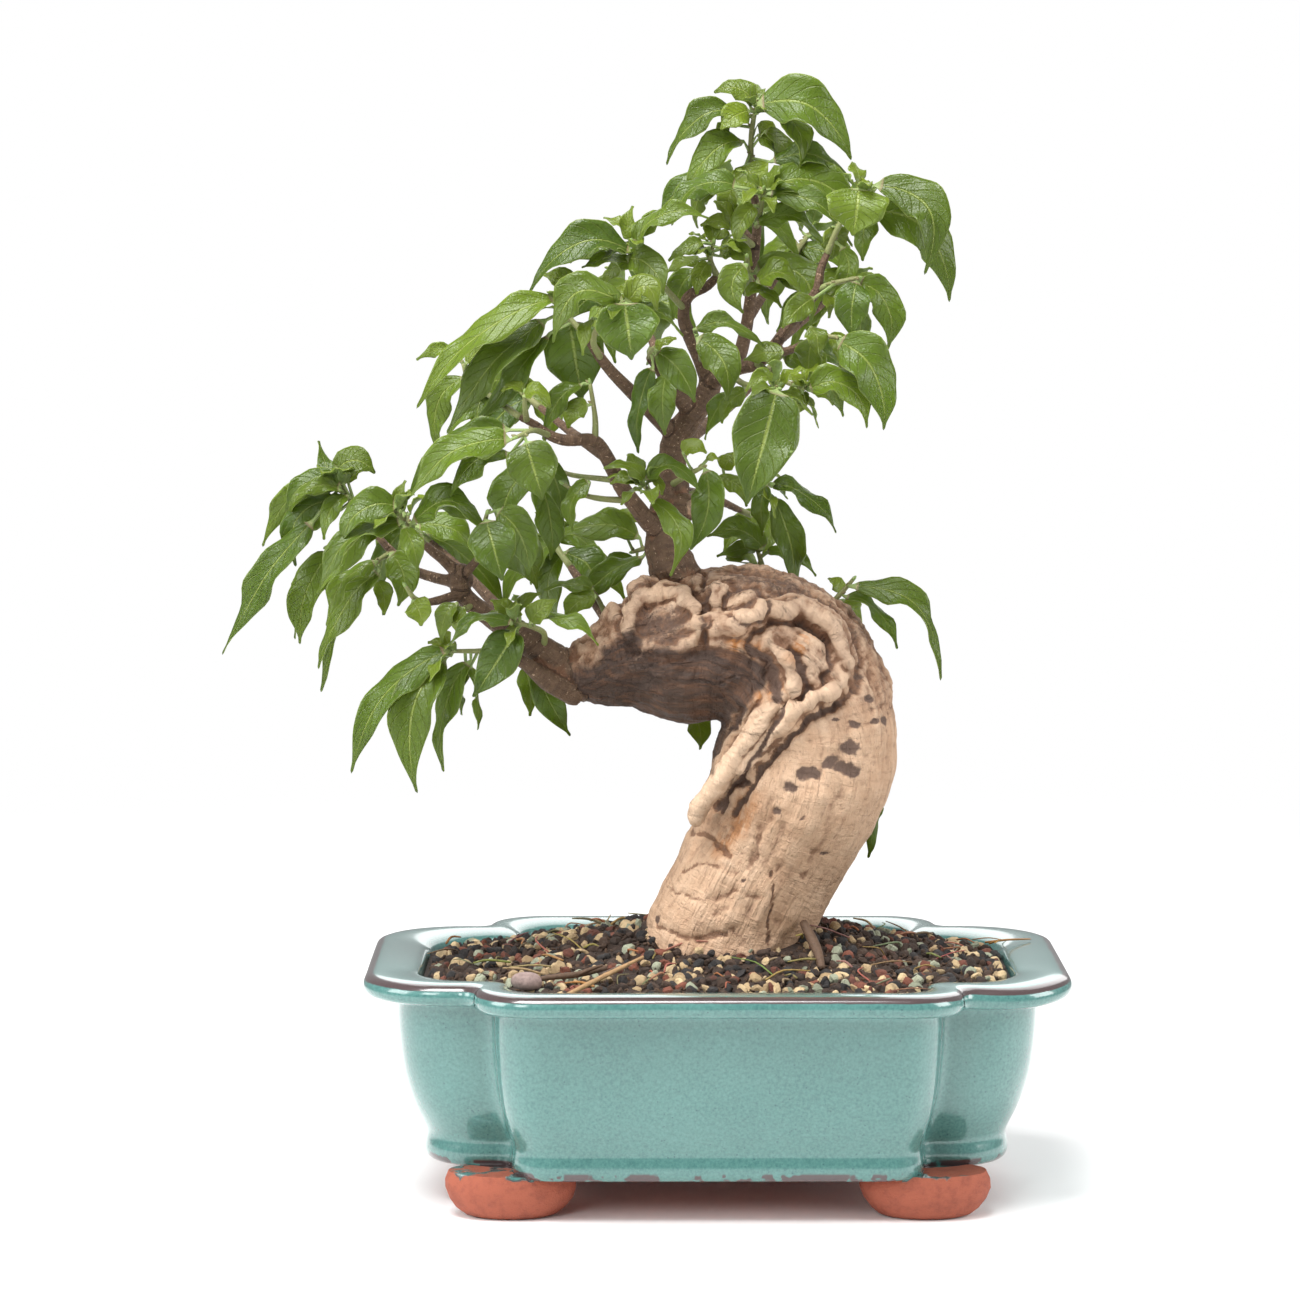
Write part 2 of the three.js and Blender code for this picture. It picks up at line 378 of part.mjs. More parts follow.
// Leafy shoots of the front and sides. A leaf is [baseX, baseZ, tipX, tipZ, width, bow, roll, lean]:
// the width as it is seen, the bow outwards or upwards, the roll in degrees from edge-on to face-on, and
// the lean of the tip towards the back as a share of the leaf's length.
const SHOOTS = {
  apex_shoot: {
    stem: [[10.4, 302.4, 5], [10, 312, 3], [10.5, 320, 1], [12, 326.5, 0]],
    leaves: [
      [10.5, 326.5, -1, 329.5, 6, 3, 60, 0.1], [9.5, 324, 1, 318.5, 8, 1, 70, -0.4],
      [6, 324, -15, 308, 6.5, 5, 50, 0.05], [4, 320, -5, 308, 4, 0.5, 40, 0.3],
      [12, 326, 40, 309.5, 13, 7, 65, -0.05], [12, 325, 24.7, 307, 7, 6, 50, -0.35],
      [12, 320, 17, 314, 5, 1, 60, 0.5], [12, 317, 20, 306, 4.5, 2, 55, 0.3],
      [14, 318, 20.5, 306, 5, 3, 60, 0.1], [16, 309, 41, 302, 6, 5, 60, 0.1],
      [8, 315, -9, 299, 8, 4, 60, -0.1], [8.5, 308, 13, 300, 11, 0, 85, -0.5],
    ],
  },
  upper_front_shoot: {
    stem: [[11.8, 290, 5], [13, 295, -1], [14, 301, -7]],
    leaves: [
      [6, 301.5, -13.5, 290, 6, 6, 45, -0.1], [5, 301, 4, 293, 6, 1, 60, 0.4],
      [11.5, 296, 6, 283.5, 6, 2, 80, -0.35], [15, 299.5, 40.5, 283.7, 6, 5, 60, -0.15],
      [12.5, 295, 27, 294, 4, 5, 30, -0.2], [16, 301.5, 42, 290, 11, 7, 65, 0.1],
      [11, 290.5, 33.5, 281.7, 5, 6, 55, -0.1],
    ],
  },
  upper_inner_shoot: {
    stem: [[11, 284, 6], [7, 287.5, 0], [4, 290, -3]],
    leaves: [
      [4, 291, -1, 297.5, 4, 1, 50, 0.1], [4, 289, -5, 290, 4, 2, 60, -0.3],
      [4, 287, -6, 286, 2.5, 1, 50, 0.3],
    ],
  },
  right_top_shoot: {
    stem: [[33, 282, -12], [35, 287, -13], [39, 295, -14], [43.5, 301.5, -15]],
    leaves: [
      [42.5, 301, 40.5, 287, 17, 0, 85, -0.25], [43, 300, 43, 304.5, 5, 0, 60, 0.3],
      [47, 302, 62, 275.5, 11, 10, 75, -0.2], [46, 295, 69.5, 267.3, 13, 8, 70, 0.15],
      [44, 295, 43.5, 279.5, 7, 0, 60, 0.1], [37, 284, 33.3, 268.5, 6, -4, 75, 0.2],
      [34, 290, 34, 280, 8, 1, 60, 0.4], [36, 291, 34, 297, 5, 1, 60, 0.4],
    ],
  },
  centre_high_shoot: {
    stem: [[10.5, 271, 5], [9.5, 276, -4], [9, 281, -12]],
    leaves: [
      [9, 278.5, 8, 264, 8, 4, 80, -0.35], [11, 276, 28, 260, 10, 9, 60, -0.25],
      [12, 273, 25, 270, 6, 4, 40, 0.1], [8, 269.5, 19.3, 265.5, 3.5, 3, 50, -0.2],
    ],
  },
  upper_left_shoot: {
    stem: [[0, 275, -2], [-2, 280, -5], [-1, 285, -8]],
    leaves: [
      [1, 281, 10.5, 278, 6, 3, 60, -0.3], [-2.5, 279, -6, 269.5, 5.5, 1, 80, -0.4],
      [-2, 281, -11, 281, 3, 2, 40, -0.3], [-4, 285, -14.5, 279.5, 4, 1, 60, -0.1],
      [-5, 280, -15.5, 276, 3.5, 1, 50, 0.2], [-6, 277, -13, 262, 7, 2, 70, 0.25],
    ],
  },
  left_peak_shoot: {
    stem: [[-9.5, 265, -4], [-15, 271, -10], [-21, 278, -14], [-25, 285, -16]],
    leaves: [
      [-24, 284, -2, 292, 5, 6, 45, -0.1], [-24, 286, -10, 295, 4, 2, 60, 0.3],
      [-25, 282, -56, 270, 8, 8, 50, -0.1], [-26, 286, -25, 296, 4, 1, 60, 0.1],
      [-26, 288, -34, 292.5, 3, 1, 50, 0.2], [-27, 280.5, -16, 269.5, 9, 3, 75, -0.4],
      [-25, 278, -40.5, 277.5, 4.5, 2, 45, -0.3], [-30, 283, -44, 279, 5, 2, 60, 0.35],
      [-28, 279, -34, 272, 4, 1, 60, 0.5],
    ],
  },
  left_front_shoot: {
    stem: [[-35, 251, -18], [-37, 256, -25], [-34, 262, -31], [-28, 266.5, -35]],
    leaves: [
      [-27.5, 267, -25.5, 250, 17, 0, 88, -0.1], [-27.5, 266.5, -49, 255, 8, 9, 45, -0.1],
      [-27, 267, -18, 264.5, 7, 6, 60, -0.3], [-26, 266, -10, 257, 4, 2.5, 55, 0.2],
      [-37, 262.5, -40, 251.3, 3.5, 1, 60, -0.3],
    ],
  },
  left_shoulder_shoot: {
    stem: [[-39, 257, -18], [-44, 262.5, -17], [-48, 268, -16]],
    leaves: [
      [-43, 269, -52, 275.5, 7, 2, 70, 0.2], [-44, 262, -40.5, 237.5, 17, 0, 88, -0.2],
      [-47, 268, -90, 235.5, 8, 6, 50, -0.1], [-51, 262, -81, 228, 9, 3, 60, -0.05],
      [-50, 258, -77, 224.5, 6, 0, 60, 0.2],
    ],
  },
  left_far_shoot: {
    stem: [[-59, 233, -20], [-66, 238, -14], [-74, 244, -9], [-76, 249, -8]],
    leaves: [
      [-77, 250, -90, 250, 4, 3, 60, 0.1], [-75, 245, -82, 221, 7, 6, 60, 0.3],
      [-75, 249, -65, 256, 4, 1, 60, 0.2],
    ],
  },
  left_twig_shoot: {
    stem: [[-57, 232, -20], [-57.5, 236, -22], [-57.5, 240, -23]],
    leaves: [[-58, 239, -50, 235.5, 3.5, 3, 40, -0.1], [-58, 240, -64.5, 240.5, 2.5, 2, 40, -0.2]],
  },
  bare_twig_shoot: {
    stem: [[-36.5, 226, -14], [-36.5, 233, -15], [-38, 243, -16]],
    leaves: [[-40, 243, -52, 226, 5, 3, 60, 0.1], [-38.5, 236.5, -44.5, 229.5, 6, 2, 70, -0.1]],
  },
  left_middle_shoot: {
    stem: [[-50, 227.5, -18], [-55, 229, -24], [-60, 227, -27]],
    leaves: [
      [-57, 225.5, -52.4, 208, 14, 0, 88, -0.15], [-62, 226, -92, 209, 9, 5, 55, -0.1],
      [-62, 222, -80, 209, 7, 4, 50, 0.15], [-62, 229, -93, 208, 8, 5, 60, 0.3],
    ],
  },
  left_inner_shoot: {
    stem: [[-28.5, 214, -9], [-35, 214.5, -7], [-45, 216, -5], [-52, 220, -4]],
    leaves: [
      [-51, 220, -46.4, 203, 7, 1, 80, -0.2], [-56, 219, -66, 196, 10, 2, 60, 0.3],
      [-54, 214, -50, 190, 9, 2, 70, 0.2],
    ],
  },
  left_low_twig_shoot: {
    stem: [[-27.5, 208, -8], [-35, 208.5, -11], [-41, 210, -14], [-46, 213, -15]],
    leaves: [[-38, 213.5, -43, 198.5, 5, 3, 60, -0.2]],
  },
  bough_front_shoot: {
    stem: [[-72, 190, -15], [-71, 195, -19], [-70, 200, -23], [-69, 204, -25]],
    leaves: [
      [-69, 202, -64.5, 183.7, 13, 0, 85, -0.15], [-66, 205, -56.5, 185.5, 10, 3, 80, 0.15],
      [-66, 197, -54, 181, 10, 3, 60, 0.5],
    ],
  },
  right_upper_shoot: {
    stem: [[30, 271, -12], [35, 273, -14], [42, 274.5, -16]],
    leaves: [
      [42, 273.5, 40.5, 256.3, 10, 1, 85, -0.15], [42, 273.5, 51, 253, 9, 5, 70, 0.2],
      [32, 270, 33.5, 262.5, 3, 1, 60, 0.3], [29, 268.5, 19.5, 259.5, 7, 1, 85, -0.4],
    ],
  },
  right_middle_shoot: {
    stem: [[26, 255, -14], [31, 257, -17], [36, 257, -19]],
    leaves: [
      [36, 256, 50, 229, 13, 5, 70, -0.1], [33, 257, 36.5, 247, 6, 3, 70, 0.3],
      [28, 260, 30, 251, 6, 1, 70, -0.3], [29, 256, 28, 243, 7, 1, 60, 0.3],
    ],
  },
  right_lower_shoot: {
    stem: [[12, 249, -9], [17, 245.5, -14], [22, 243, -17], [27, 241.5, -19]],
    leaves: [
      [27, 241, 45, 229.5, 8, 7, 50, -0.1], [28, 241.5, 35, 236.5, 2.5, 1, 50, 0.2],
      [27.5, 240, 23.5, 233, 5, 1, 70, 0.2], [26, 242, 19, 244, 3, 2, 50, -0.2],
      [20, 252, 8, 250, 6, 1, 60, 0.4],
    ],
  },
  front_right_shoot: {
    stem: [[4, 246, -6], [8, 243, -14], [14, 242, -22], [18.5, 241.5, -28]],
    leaves: [
      [18, 241, 9, 206.5, 18, 0, 88, -0.1], [19, 241, 8.5, 240.5, 4, 4, 50, -0.2],
      [19, 241, 14, 246, 4, 1, 60, 0.3], [9, 240.5, 1.5, 231, 5, 2, 60, 0.2],
      [8, 240, -3.5, 226, 5, 3, 60, 0.35],
    ],
  },
  front_centre_shoot: {
    stem: [[-4.5, 250, -3], [-5, 253, -10], [-6, 257, -17]],
    leaves: [[-6, 256.5, 3, 237.7, 10, 4, 80, -0.2], [-7, 259, 14, 254, 4.5, 4, 55, -0.1]],
  },
  front_left_shoot: {
    stem: [[-20, 251, -16], [-19.5, 253, -20], [-18, 254, -25]],
    leaves: [
      [-18, 252.5, -6.5, 237.3, 9, 2, 85, -0.15], [-18, 253, -12, 256.5, 2.5, 1, 50, -0.1],
      [-19, 248, -23.5, 222, 6, 2, 70, 0.2], [-15, 246, -15.5, 227.5, 8, 1, 80, 0.3],
    ],
  },
  low_centre_shoot: {
    stem: [[-13, 213, -2], [-8, 216, -8], [-4, 218, -11]],
    leaves: [
      [-3.5, 217.5, -8, 193, 9.5, -3, 80, -0.15], [-10, 222, -3, 222, 4.5, 2, 50, -0.2],
      [-3, 220, 1, 220, 2, 1, 50, 0.3],
    ],
  },
  low_left_shoot: {
    stem: [[-15, 205, -3], [-19, 209, -12], [-22.5, 213.5, -16]],
    leaves: [
      [-22, 214, -5, 210, 4.5, 6, 45, -0.2], [-22, 213.5, -34, 217.5, 3.5, 3, 50, -0.3],
      [-23, 213, -32, 212.8, 3, 2, 40, -0.5], [-21, 214, -16.5, 209.5, 3, 2, 50, -0.5],
      [-20, 208, -14, 185, 6.5, 6, 65, -0.25],
    ],
  },
  leader_left_shoot: {
    stem: [[-16, 193, 4], [-21, 193.5, 8], [-25, 192.5, 10]],
    leaves: [
      [-23, 196.5, -51, 195, 7.5, 5, 55, 0.2], [-30, 203.5, -21, 200.5, 4, 1, 50, 0.3],
      [-22, 191, -45, 174, 6, 2, 60, -0.1], [-24, 190, -42, 177, 7, 2, 60, 0.4],
    ],
  },
  bough_top_shoot: {
    stem: [[-32, 170, 2], [-35, 177, 2], [-38, 182, 1]],
    leaves: [[-37, 181, -52, 180.5, 3.5, 2, 50, 0.2], [-36, 179, -46, 171, 6, 2, 60, 0.3]],
  },
  right_low_shoot: {
    stem: [[-12, 208, 3], [-2, 212, 6], [8, 213.5, 6], [16, 213, 4]],
    leaves: [
      [0, 214, 9, 206, 5, 3, 60, -0.2], [15, 213, 14, 197, 5, 1, 70, 0.2],
      [16, 212.5, 36, 198, 5, 4, 50, -0.1], [17, 209, 23.5, 178.5, 8, 2, 75, -0.2],
      [2, 217, 8, 222, 5, 1, 60, 0.2],
    ],
  },
  right_foot_shoot: {
    stem: [[15, 182, 8], [13.5, 189, 10], [12, 194, 10]],
    leaves: [
      [14, 193, -3, 197, 7, 4, 55, 0.1], [12, 193, 0, 191, 4, 1, 60, -0.2],
      [15, 192, 30, 185, 4, 3, 60, 0.1], [3, 190, 12.5, 187.5, 4.5, 3, 50, 0.4],
    ],
  },
  trunk_right_shoot: {
    stem: [[31, 171, 2], [34, 176, 2], [38, 180.5, 2], [41, 184, 2]],
    leaves: [
      [40, 182, 67.6, 153.5, 6, 10, 50, -0.1], [38.5, 179, 54.5, 163, 4, 4, 50, -0.2],
      [37, 180, 33.5, 184.5, 4, 1, 50, 0.3], [38, 178, 43, 168, 4, 2, 60, 0.5],
    ],
  },
  trunk_back_shoot: {
    onTrunk: true,
    stem: [[40, 117, 17], [43.5, 119, 24], [45, 121, 27]],
    leaves: [[44.5, 121, 46, 99.5, 5, 2, 60, 0.05]],
  },
  bough_under_shoot: {
    onTrunk: true,
    stem: [[-12, 152, 18], [-11, 148, 23], [-10.5, 146, 25]],
    leaves: [[-10, 147, -5, 132.5, 8, 2, 60, 0.1]],
  },
  bough_tip_shoot: {
    stem: [[-88, 195, -13], [-92, 199, -17], [-97, 205.5, -20]],
    leaves: [
      [-96, 206, -113, 194.5, 8.5, 5, 60, -0.3], [-94, 201, -120, 179.5, 5.5, 6, 45, -0.3],
      [-99, 203, -120.3, 179.5, 8, 2, 70, 0.05], [-95, 205, -93.3, 214, 3.5, 1, 60, 0.1],
      [-91.5, 201, -68.5, 196.5, 6.5, 8, 45, -0.25], [-90, 203, -69, 199, 5, 5, 50, 0.1],
      [-94, 200, -90, 186.5, 6, 1, 75, -0.1],
    ],
  },
  far_left_shoot: {
    stem: [[-106, 203, -4], [-109, 207, -4], [-112, 210.5, -4], [-114, 215, -4]],
    leaves: [
      [-113, 211.5, -129.5, 205, 7, 5, 60, -0.1], [-116, 215, -136.5, 194, 6.5, 4, 72, 0.2],
      [-113, 211, -128.5, 206, 4, 3.5, 60, -0.4], [-114, 214, -127.3, 200.5, 7, 3, 75, 0.45],
      [-112.5, 211, -119.5, 226, 4.5, -1, 60, 0.1], [-114, 217, -102.5, 216, 8, 3.5, 65, -0.1],
      [-110.5, 213, -103, 217, 2.5, 2, 55, 0.2], [-110.5, 209.5, -118, 196, 5, 2.5, 75, -0.4],
      [-114, 208, -126.5, 188, 8, 7, 70, 0.1], [-121, 202, -149, 161.3, 8, 2, 60, 0.15],
      [-113, 205, -129, 193, 3, 2, 50, 0.35],
    ],
  },
  low_outer_shoot: {
    stem: [[-103, 199, -4], [-110, 197, -1], [-117, 194, 2]],
    leaves: [
      [-116, 192, -125.5, 164.5, 10, 3, 75, -0.1], [-117, 193, -127, 166, 6, 2, 60, 0.3],
      [-114, 190, -119.3, 150, 5, -2, 60, 0.1],
    ],
  },
  low_hanging_shoot: {
    stem: [[-97, 192, -4], [-100, 191, -8], [-103, 189, -12]],
    leaves: [
      [-102, 189.5, -117.5, 170, 5, 4, 55, -0.2], [-101, 187, -120, 157, 8, 3, 55, 0.15],
      [-98, 192, -96, 176, 9, 3, 80, -0.3], [-102, 184, -100.3, 173.3, 5, 1, 70, 0.4],
    ],
  },
  stub_shoot: {
    stem: [[-88, 177, -17], [-91, 178.5, -18], [-93.5, 182, -18]],
    leaves: [[-91.5, 177.5, -89, 170, 7.5, 1, 85, -0.3]],
  },
  bough_bud_shoot: {
    stem: [[-73, 177, -12], [-76, 175, -16], [-78, 176, -18]],
    leaves: [[-78, 177, -82.5, 165, 5, 2, 65, 0.1], [-76, 175.5, -78, 168, 4, 1, 60, -0.4]],
  },
  bough_green_shoot: {
    stem: [[-52, 164, -7], [-52, 168, -14], [-56, 170, -18], [-61.5, 171.3, -20]],
    leaves: [
      [-60, 168.5, -73.5, 148.5, 11, 0, 80, -0.1], [-61.5, 170.5, -80.5, 164, 3.5, 5, 45, -0.1],
      [-56, 171, -48, 178, 6, 1, 70, -0.2], [-55, 171.5, -35.5, 164, 3.5, 4, 45, -0.2],
      [-62, 172.5, -68, 178, 5, 1, 60, 0.3], [-61, 172, -52.7, 180, 4, 2, 60, 0.3],
    ],
  },
  bough_back_shoot: {
    stem: [[-51, 160, -3], [-53, 160, 6], [-55, 158.5, 9]],
    leaves: [[-54, 157, -44, 136.7, 8, -1, 80, 0.05], [-58, 158, -56.3, 142.7, 6.5, 1, 80, 0.2]],
  },
  low_left_bough_shoot: {
    stem: [[-62, 160, -12], [-67, 162.5, -13], [-73, 162.5, -14], [-82, 162.5, -15]],
    leaves: [
      [-80, 162.5, -110.3, 125.3, 8.5, 7, 60, -0.05], [-81.5, 161, -90.3, 119.3, 12, 6, 75, -0.2],
      [-74, 159.5, -82.3, 125.7, 6.5, 4, 60, 0.15], [-75.5, 158, -76.8, 143, 3.5, 1, 60, 0.3],
      [-74, 158, -72, 138.5, 2.5, 1, 50, 0.35], [-80, 163, -87, 165, 3, 1, 60, 0.3],
    ],
  },
};

// Parts of the crown that are dense as seen from the front: [x, z, halfWidth, halfHeight].
// Leaves on the far side stay behind them.
const DENSE = [
  [14, 288, 25, 26], [6, 268, 26, 14], [-34, 262, 23, 17], [-66, 232, 20, 24], [34, 258, 16, 26], [55, 288, 12, 12],
  [-98, 194, 24, 18], [-44, 180, 22, 14], [10, 203, 16, 14], [-60, 196, 14, 18], [-10, 282, 16, 14],
];

function inDense(x, z) {
  return DENSE.some(([cx, cz, halfX, halfZ]) => ((x - cx) / halfX) ** 2 + ((z - cz) / halfZ) ** 2 < 1);
}

// A shoot at the end of a twig on the far side: leaves turn round the stem and arch down
function backShoot(rows, index) {
  const shoot = BACK_SHOOT;
  const draw = drawer(shoot.seed + index);
  const [fromX, fromZ, fromY] = rows.at(-2);
  const [x, z, y] = rows.at(-1);
  const stem = [[x, z, y], [x + 0.7 * (x - fromX), z + 0.7 * (z - fromZ), y + 0.6 * (y - fromY)]];
  stem.push([2 * x - fromX + 1, z + 1.1 * (z - fromZ), y + (y - fromY)]);
  const leaves = [];
  for (let trial = 0; trial < shoot.trials && leaves.length < shoot.leaves; trial++) {
    const share = draw();
    const along = new THREE.Vector3(...stem[0]).lerp(new THREE.Vector3(...stem[2]), 0.15 + 0.85 * share);
    const turn = trial * LEAF_TURN + draw();
    const length = shoot.shortest + shoot.longer * draw();
    const drop = shoot.smallestDrop + shoot.moreDrop * draw();
    const tipX = along.x + shoot.sideways * length * Math.cos(turn);
    const tipZ = along.y - drop * length;
    const width = shoot.narrowest + shoot.wider * draw();
    const roll = shoot.smallestRoll + shoot.moreRoll * draw();
    const lean = shoot.turnLean * Math.sin(turn) + shoot.lean;
    const crowded = leaves.some((leaf) => Math.hypot(leaf[2] - tipX, leaf[3] - tipZ) < shoot.spacing);
    if (crowded || !inDense(along.x, along.y) || !inDense(tipX, tipZ)) continue;
    leaves.push([along.x, along.y, tipX, tipZ, width, shoot.bow, roll, lean]);
  }
  return { stem, leaves };
}

// Leaves

// One way for a leaf to hang: its places in depth and the two directions that turn its face
function leafPose(row, root, push) {
  const [baseX, baseZ, tipX, tipZ, width, bow, roll, lean] = row;
  const length = Math.hypot(tipX - baseX, tipZ - baseZ);
  const baseY = root.y + 4 * lean + push.base;
  const base = seen(baseX, baseZ, baseY);
  const tip = seen(tipX, tipZ, baseY + (lean + push.lean) * length);
  const chord = new THREE.Vector3().subVectors(tip, base);
  const lift = new THREE.Vector3(-(tipZ - baseZ), 0, tipX - baseX).normalize();
  if (tipX < baseX) lift.negate();
  const angle = THREE.MathUtils.degToRad(roll);
  const face = lift.clone().multiplyScalar(Math.cos(angle)).addScaledVector(TOWARDS_FRONT, Math.sin(angle));
  const bend = base.clone().addScaledVector(chord, BLADE.belly)
    .addScaledVector(lift, 2 * bow)
    .addScaledVector(TOWARDS_FRONT, 2 * BLADE.bulge * length * Math.sin(angle));
  const trueWidth = width / Math.max(Math.sin(angle), 0.6);
  return { base, bend, tip, face, length, halfWidth: trueWidth / 2 };
}

// Share of the full half width along the blade: a round base and a drawn-out tip
function bladeShare(along) {
  const swell = Math.sin(Math.PI * along ** 0.62);
  return swell ** (along < 0.33 ? 0.75 : 1.15);
}

// A leaf with its stalk: sections with two edges and a keel below them, from the root in the stem to the
// tip. The stalk can be trimmed by a share of its length, and the whole grown on all sides.
function leafSolid(pose, root, phase, { grow = 0, trim = 0 } = {}) {
  const { base, bend, tip, face, length, halfWidth } = pose;
  const curve = new THREE.QuadraticBezierCurve3(base, bend, tip);
  const stops = LEAF_STOPS[length > LONG_LEAF ? "long" : length > MIDDLE_LEAF ? "middle" : "short"];
  const stalkWay = new THREE.Vector3().subVectors(base, root);
  const stalkAlong = stalkWay.lengthSq() > 0.01 ? stalkWay.clone().normalize() : curve.getTangent(0);
  const places = [
    { at: root.clone().addScaledVector(stalkWay, trim), along: stalkAlong, share: 0, t: 0 },
    ...stops.map((t, i) => ({ at: curve.getPoint(t), along: curve.getTangent(t), share: i ? bladeShare(t) : 0, t })),
  ];
  const rings = places.map(({ at, along, share, t }) => {
    const normal = face.clone().addScaledVector(along, -face.dot(along)).normalize();
    const side = new THREE.Vector3().crossVectors(along, normal);
    const half = Math.max(share * halfWidth, t > 0 ? BLADE.petiole : BLADE.root) + grow;
    const ripple = Math.min(BLADE.wave * length, BLADE.highestWave) * share;
    const rise = BLADE.fold * half * (share > 0 ? 1 : 3);
    const left = ripple * Math.sin(9 * t + phase);
    const right = ripple * Math.sin(10 * t + phase + BLADE.skew);
    const keel = (left + right) / 2 - (t > 0 ? BLADE.keel : BLADE.root);
    return [
      at.clone().addScaledVector(side, half).addScaledVector(normal, rise + left + grow),
      at.clone().addScaledVector(side, -half).addScaledVector(normal, rise + right + grow),
      at.clone().addScaledVector(normal, keel - grow),
    ];
  });
  return toSolid(loft(rings, places[0].at, tip.clone().addScaledVector(curve.getTangent(1), grow)));
}

// Ways to swing a leaf clear of another shoot, the smallest first
const PUSHES = [];
for (const base of PUSH.bases) {
  for (let step = 0; step <= PUSH.leanSteps; step++) {
    const lean = PUSH.leanStep * Math.ceil(step / 2) * (step % 2 ? 1 : -1);
    PUSHES.push({ base, lean, size: Math.abs(lean) + Math.abs(base) * PUSH.perMillimetre });
  }
}
PUSHES.sort((a, b) => a.size - b.size);

// Where each leaf's stalk leaves the stem: as near its base as the leaves before it have left free
function leafRoots({ stem, leaves }) {
  const line = stem.map(([x, z, y]) => seen(x, z, y));
  const spots = [];
  for (let i = 0; i < line.length - 1; i++) {
    for (let step = i === 0 ? STALK.firstStep : 0; step <= STALK.steps; step++) {
      const at = new THREE.Vector3().lerpVectors(line[i], line[i + 1], step / STALK.steps);
      const reach = (at.y - EYE.y) / -EYE.y;
      spots.push({ at, x: EYE.x + (at.x - EYE.x) / reach, z: EYE.z + (at.z - EYE.z) / reach });
    }
  }
  const used = [];
  for (const [baseX, baseZ] of leaves) {
    const cost = (spot) => {
      const crowding = used.reduce((sum, root) => {
        return sum + Math.max(0, 1 - root.distanceTo(spot.at) / STALK.spacing);
      }, 0);
      return Math.hypot(spot.x - baseX, spot.z - baseZ) + STALK.crowding * crowding;
    };
    used.push(spots.reduce((best, spot) => (cost(spot) < cost(best) ? spot : best)).at);
  }
  return used;
}

function boxOf(solid) {
  const { min, max } = solid.boundingBox();
  return new THREE.Box3(new THREE.Vector3(...min), new THREE.Vector3(...max));
}

function meets(solid, others) {
  const box = boxOf(solid);
  return others.some((other) => other.box.intersectsBox(box) && !solid.intersect(other.solid).isEmpty());
}

function largestPiece(solid) {
  const pieces = solid.decompose();
  return pieces.reduce((best, piece) => (piece.volume() > best.volume() ? piece : best));
}

function stemSolid(stem) {
  const places = stem.map(([x, z, y], i) => {
    const radius = THREE.MathUtils.lerp(STEM.root, STEM.tip, i / (stem.length - 1));
    return { at: seen(x, z, y), radius };
  });
  return limb(places, STEM.sides);
}

// All the leafy shoots, each clear of the wood and of the others
function shootSolids() {
  const shoots = {};
  for (const [name, { stem, leaves, onTrunk }] of Object.entries(SHOOTS)) {
    shoots[name] = { stem: onTrunk ? stem : deepen(stem), leaves };
  }
  BACK_TWIGS.forEach((rows, i) => {
    const { stem, leaves } = backShoot(rows, i);
    shoots[`back_shoot_${i + 1}`] = { stem: deepen(stem), leaves };
  });
  const names = Object.keys(shoots);
  const skin = woodSolid(GAP);
  const wood = { solid: skin, box: boxOf(skin) };
  const placed = {};
  for (const name of names) {
    const solid = stemSolid(shoots[name].stem).subtract(skin);
    placed[name] = [{ solid: largestPiece(solid), box: boxOf(solid) }];
  }
  names.forEach((name, number) => {
    const roots = leafRoots(shoots[name]);
    const others = names.filter((other) => other !== name).flatMap((other) => placed[other]);
    shoots[name].leaves.forEach((row, index) => {
      const root = roots[index];
      const phase = LEAF_TURN * index + number;
      const clear = PUSHES.filter((push) => {
        const trial = leafSolid(leafPose(row, root, push), root, phase, { grow: GAP });
        return !meets(trial, [...others, wood]);
      });
      const apart = clear.find((push) => {
        return !meets(leafSolid(leafPose(row, root, push), root, phase, { trim: 0.6 }), placed[name]);
      });
      const free = apart ?? clear[0];
      if (!free) throw new Error(`leaf ${index} of ${name} has no free place`);
      const solid = leafSolid(leafPose(row, root, free), root, phase);
      placed[name].push({ solid, box: boxOf(solid) });
    });
  });
  return Object.fromEntries(names.map((name) => {
    const joined = placed[name].map(({ solid }) => solid).reduce((sum, solid) => sum.add(solid));
    return [name, largestPiece(joined.simplify(SEAM_WIDTH))];
  }));
}

// The finished object

function standard(color, roughness) {
  return new THREE.MeshStandardMaterial({ color, roughness, metalness: 0 });
}

const GLAZE = standard(0x5f9c92, 0.25);
const SOIL = standard(0x3a2a20, 0.95);
const WOOD = standard(0xb08a66, 0.85);
const LEAF = standard(0x4e7d3a, 0.55);
const GAUZE = standard(0x2a2a2a, 0.7);

const tree = new THREE.Group();

function place(name, solid, material) {
  const mesh = new THREE.Mesh(toGeometry(solid), material);
  mesh.name = name;
  tree.add(mesh);
}

place("pot", potSolid(), GLAZE);
place("drainage_mesh_left", plateSolid(-DRAIN.x), GAUZE);
place("drainage_mesh_right", plateSolid(DRAIN.x), GAUZE);
place("soil", soilSolid(woodSolid(GAP)), SOIL);
place("trunk", woodSolid(0), WOOD);
for (const [name, solid] of Object.entries(shootSolids())) place(name, solid, LEAF);

// The origin is the middle of the whole tree's footprint, on the surface that the feet stand on
const extent = new THREE.Box3().setFromObject(tree, true);
const centre = extent.getCenter(new THREE.Vector3());
tree.position.set(-centre.x, -centre.y, -extent.min.z);

export default tree;
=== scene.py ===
"""Bougainvillea bonsai in a glazed lobed pot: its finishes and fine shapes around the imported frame.

The tables hold millimetres, and MM turns them into metres. A place on the tree is (x, z, y): x and z as
they are seen from the front in the plane y = 0, and y the depth. seen() moves such a place along its line
of sight to that depth. Below the tables every length is in metres, unless a name ends in _mm.
"""

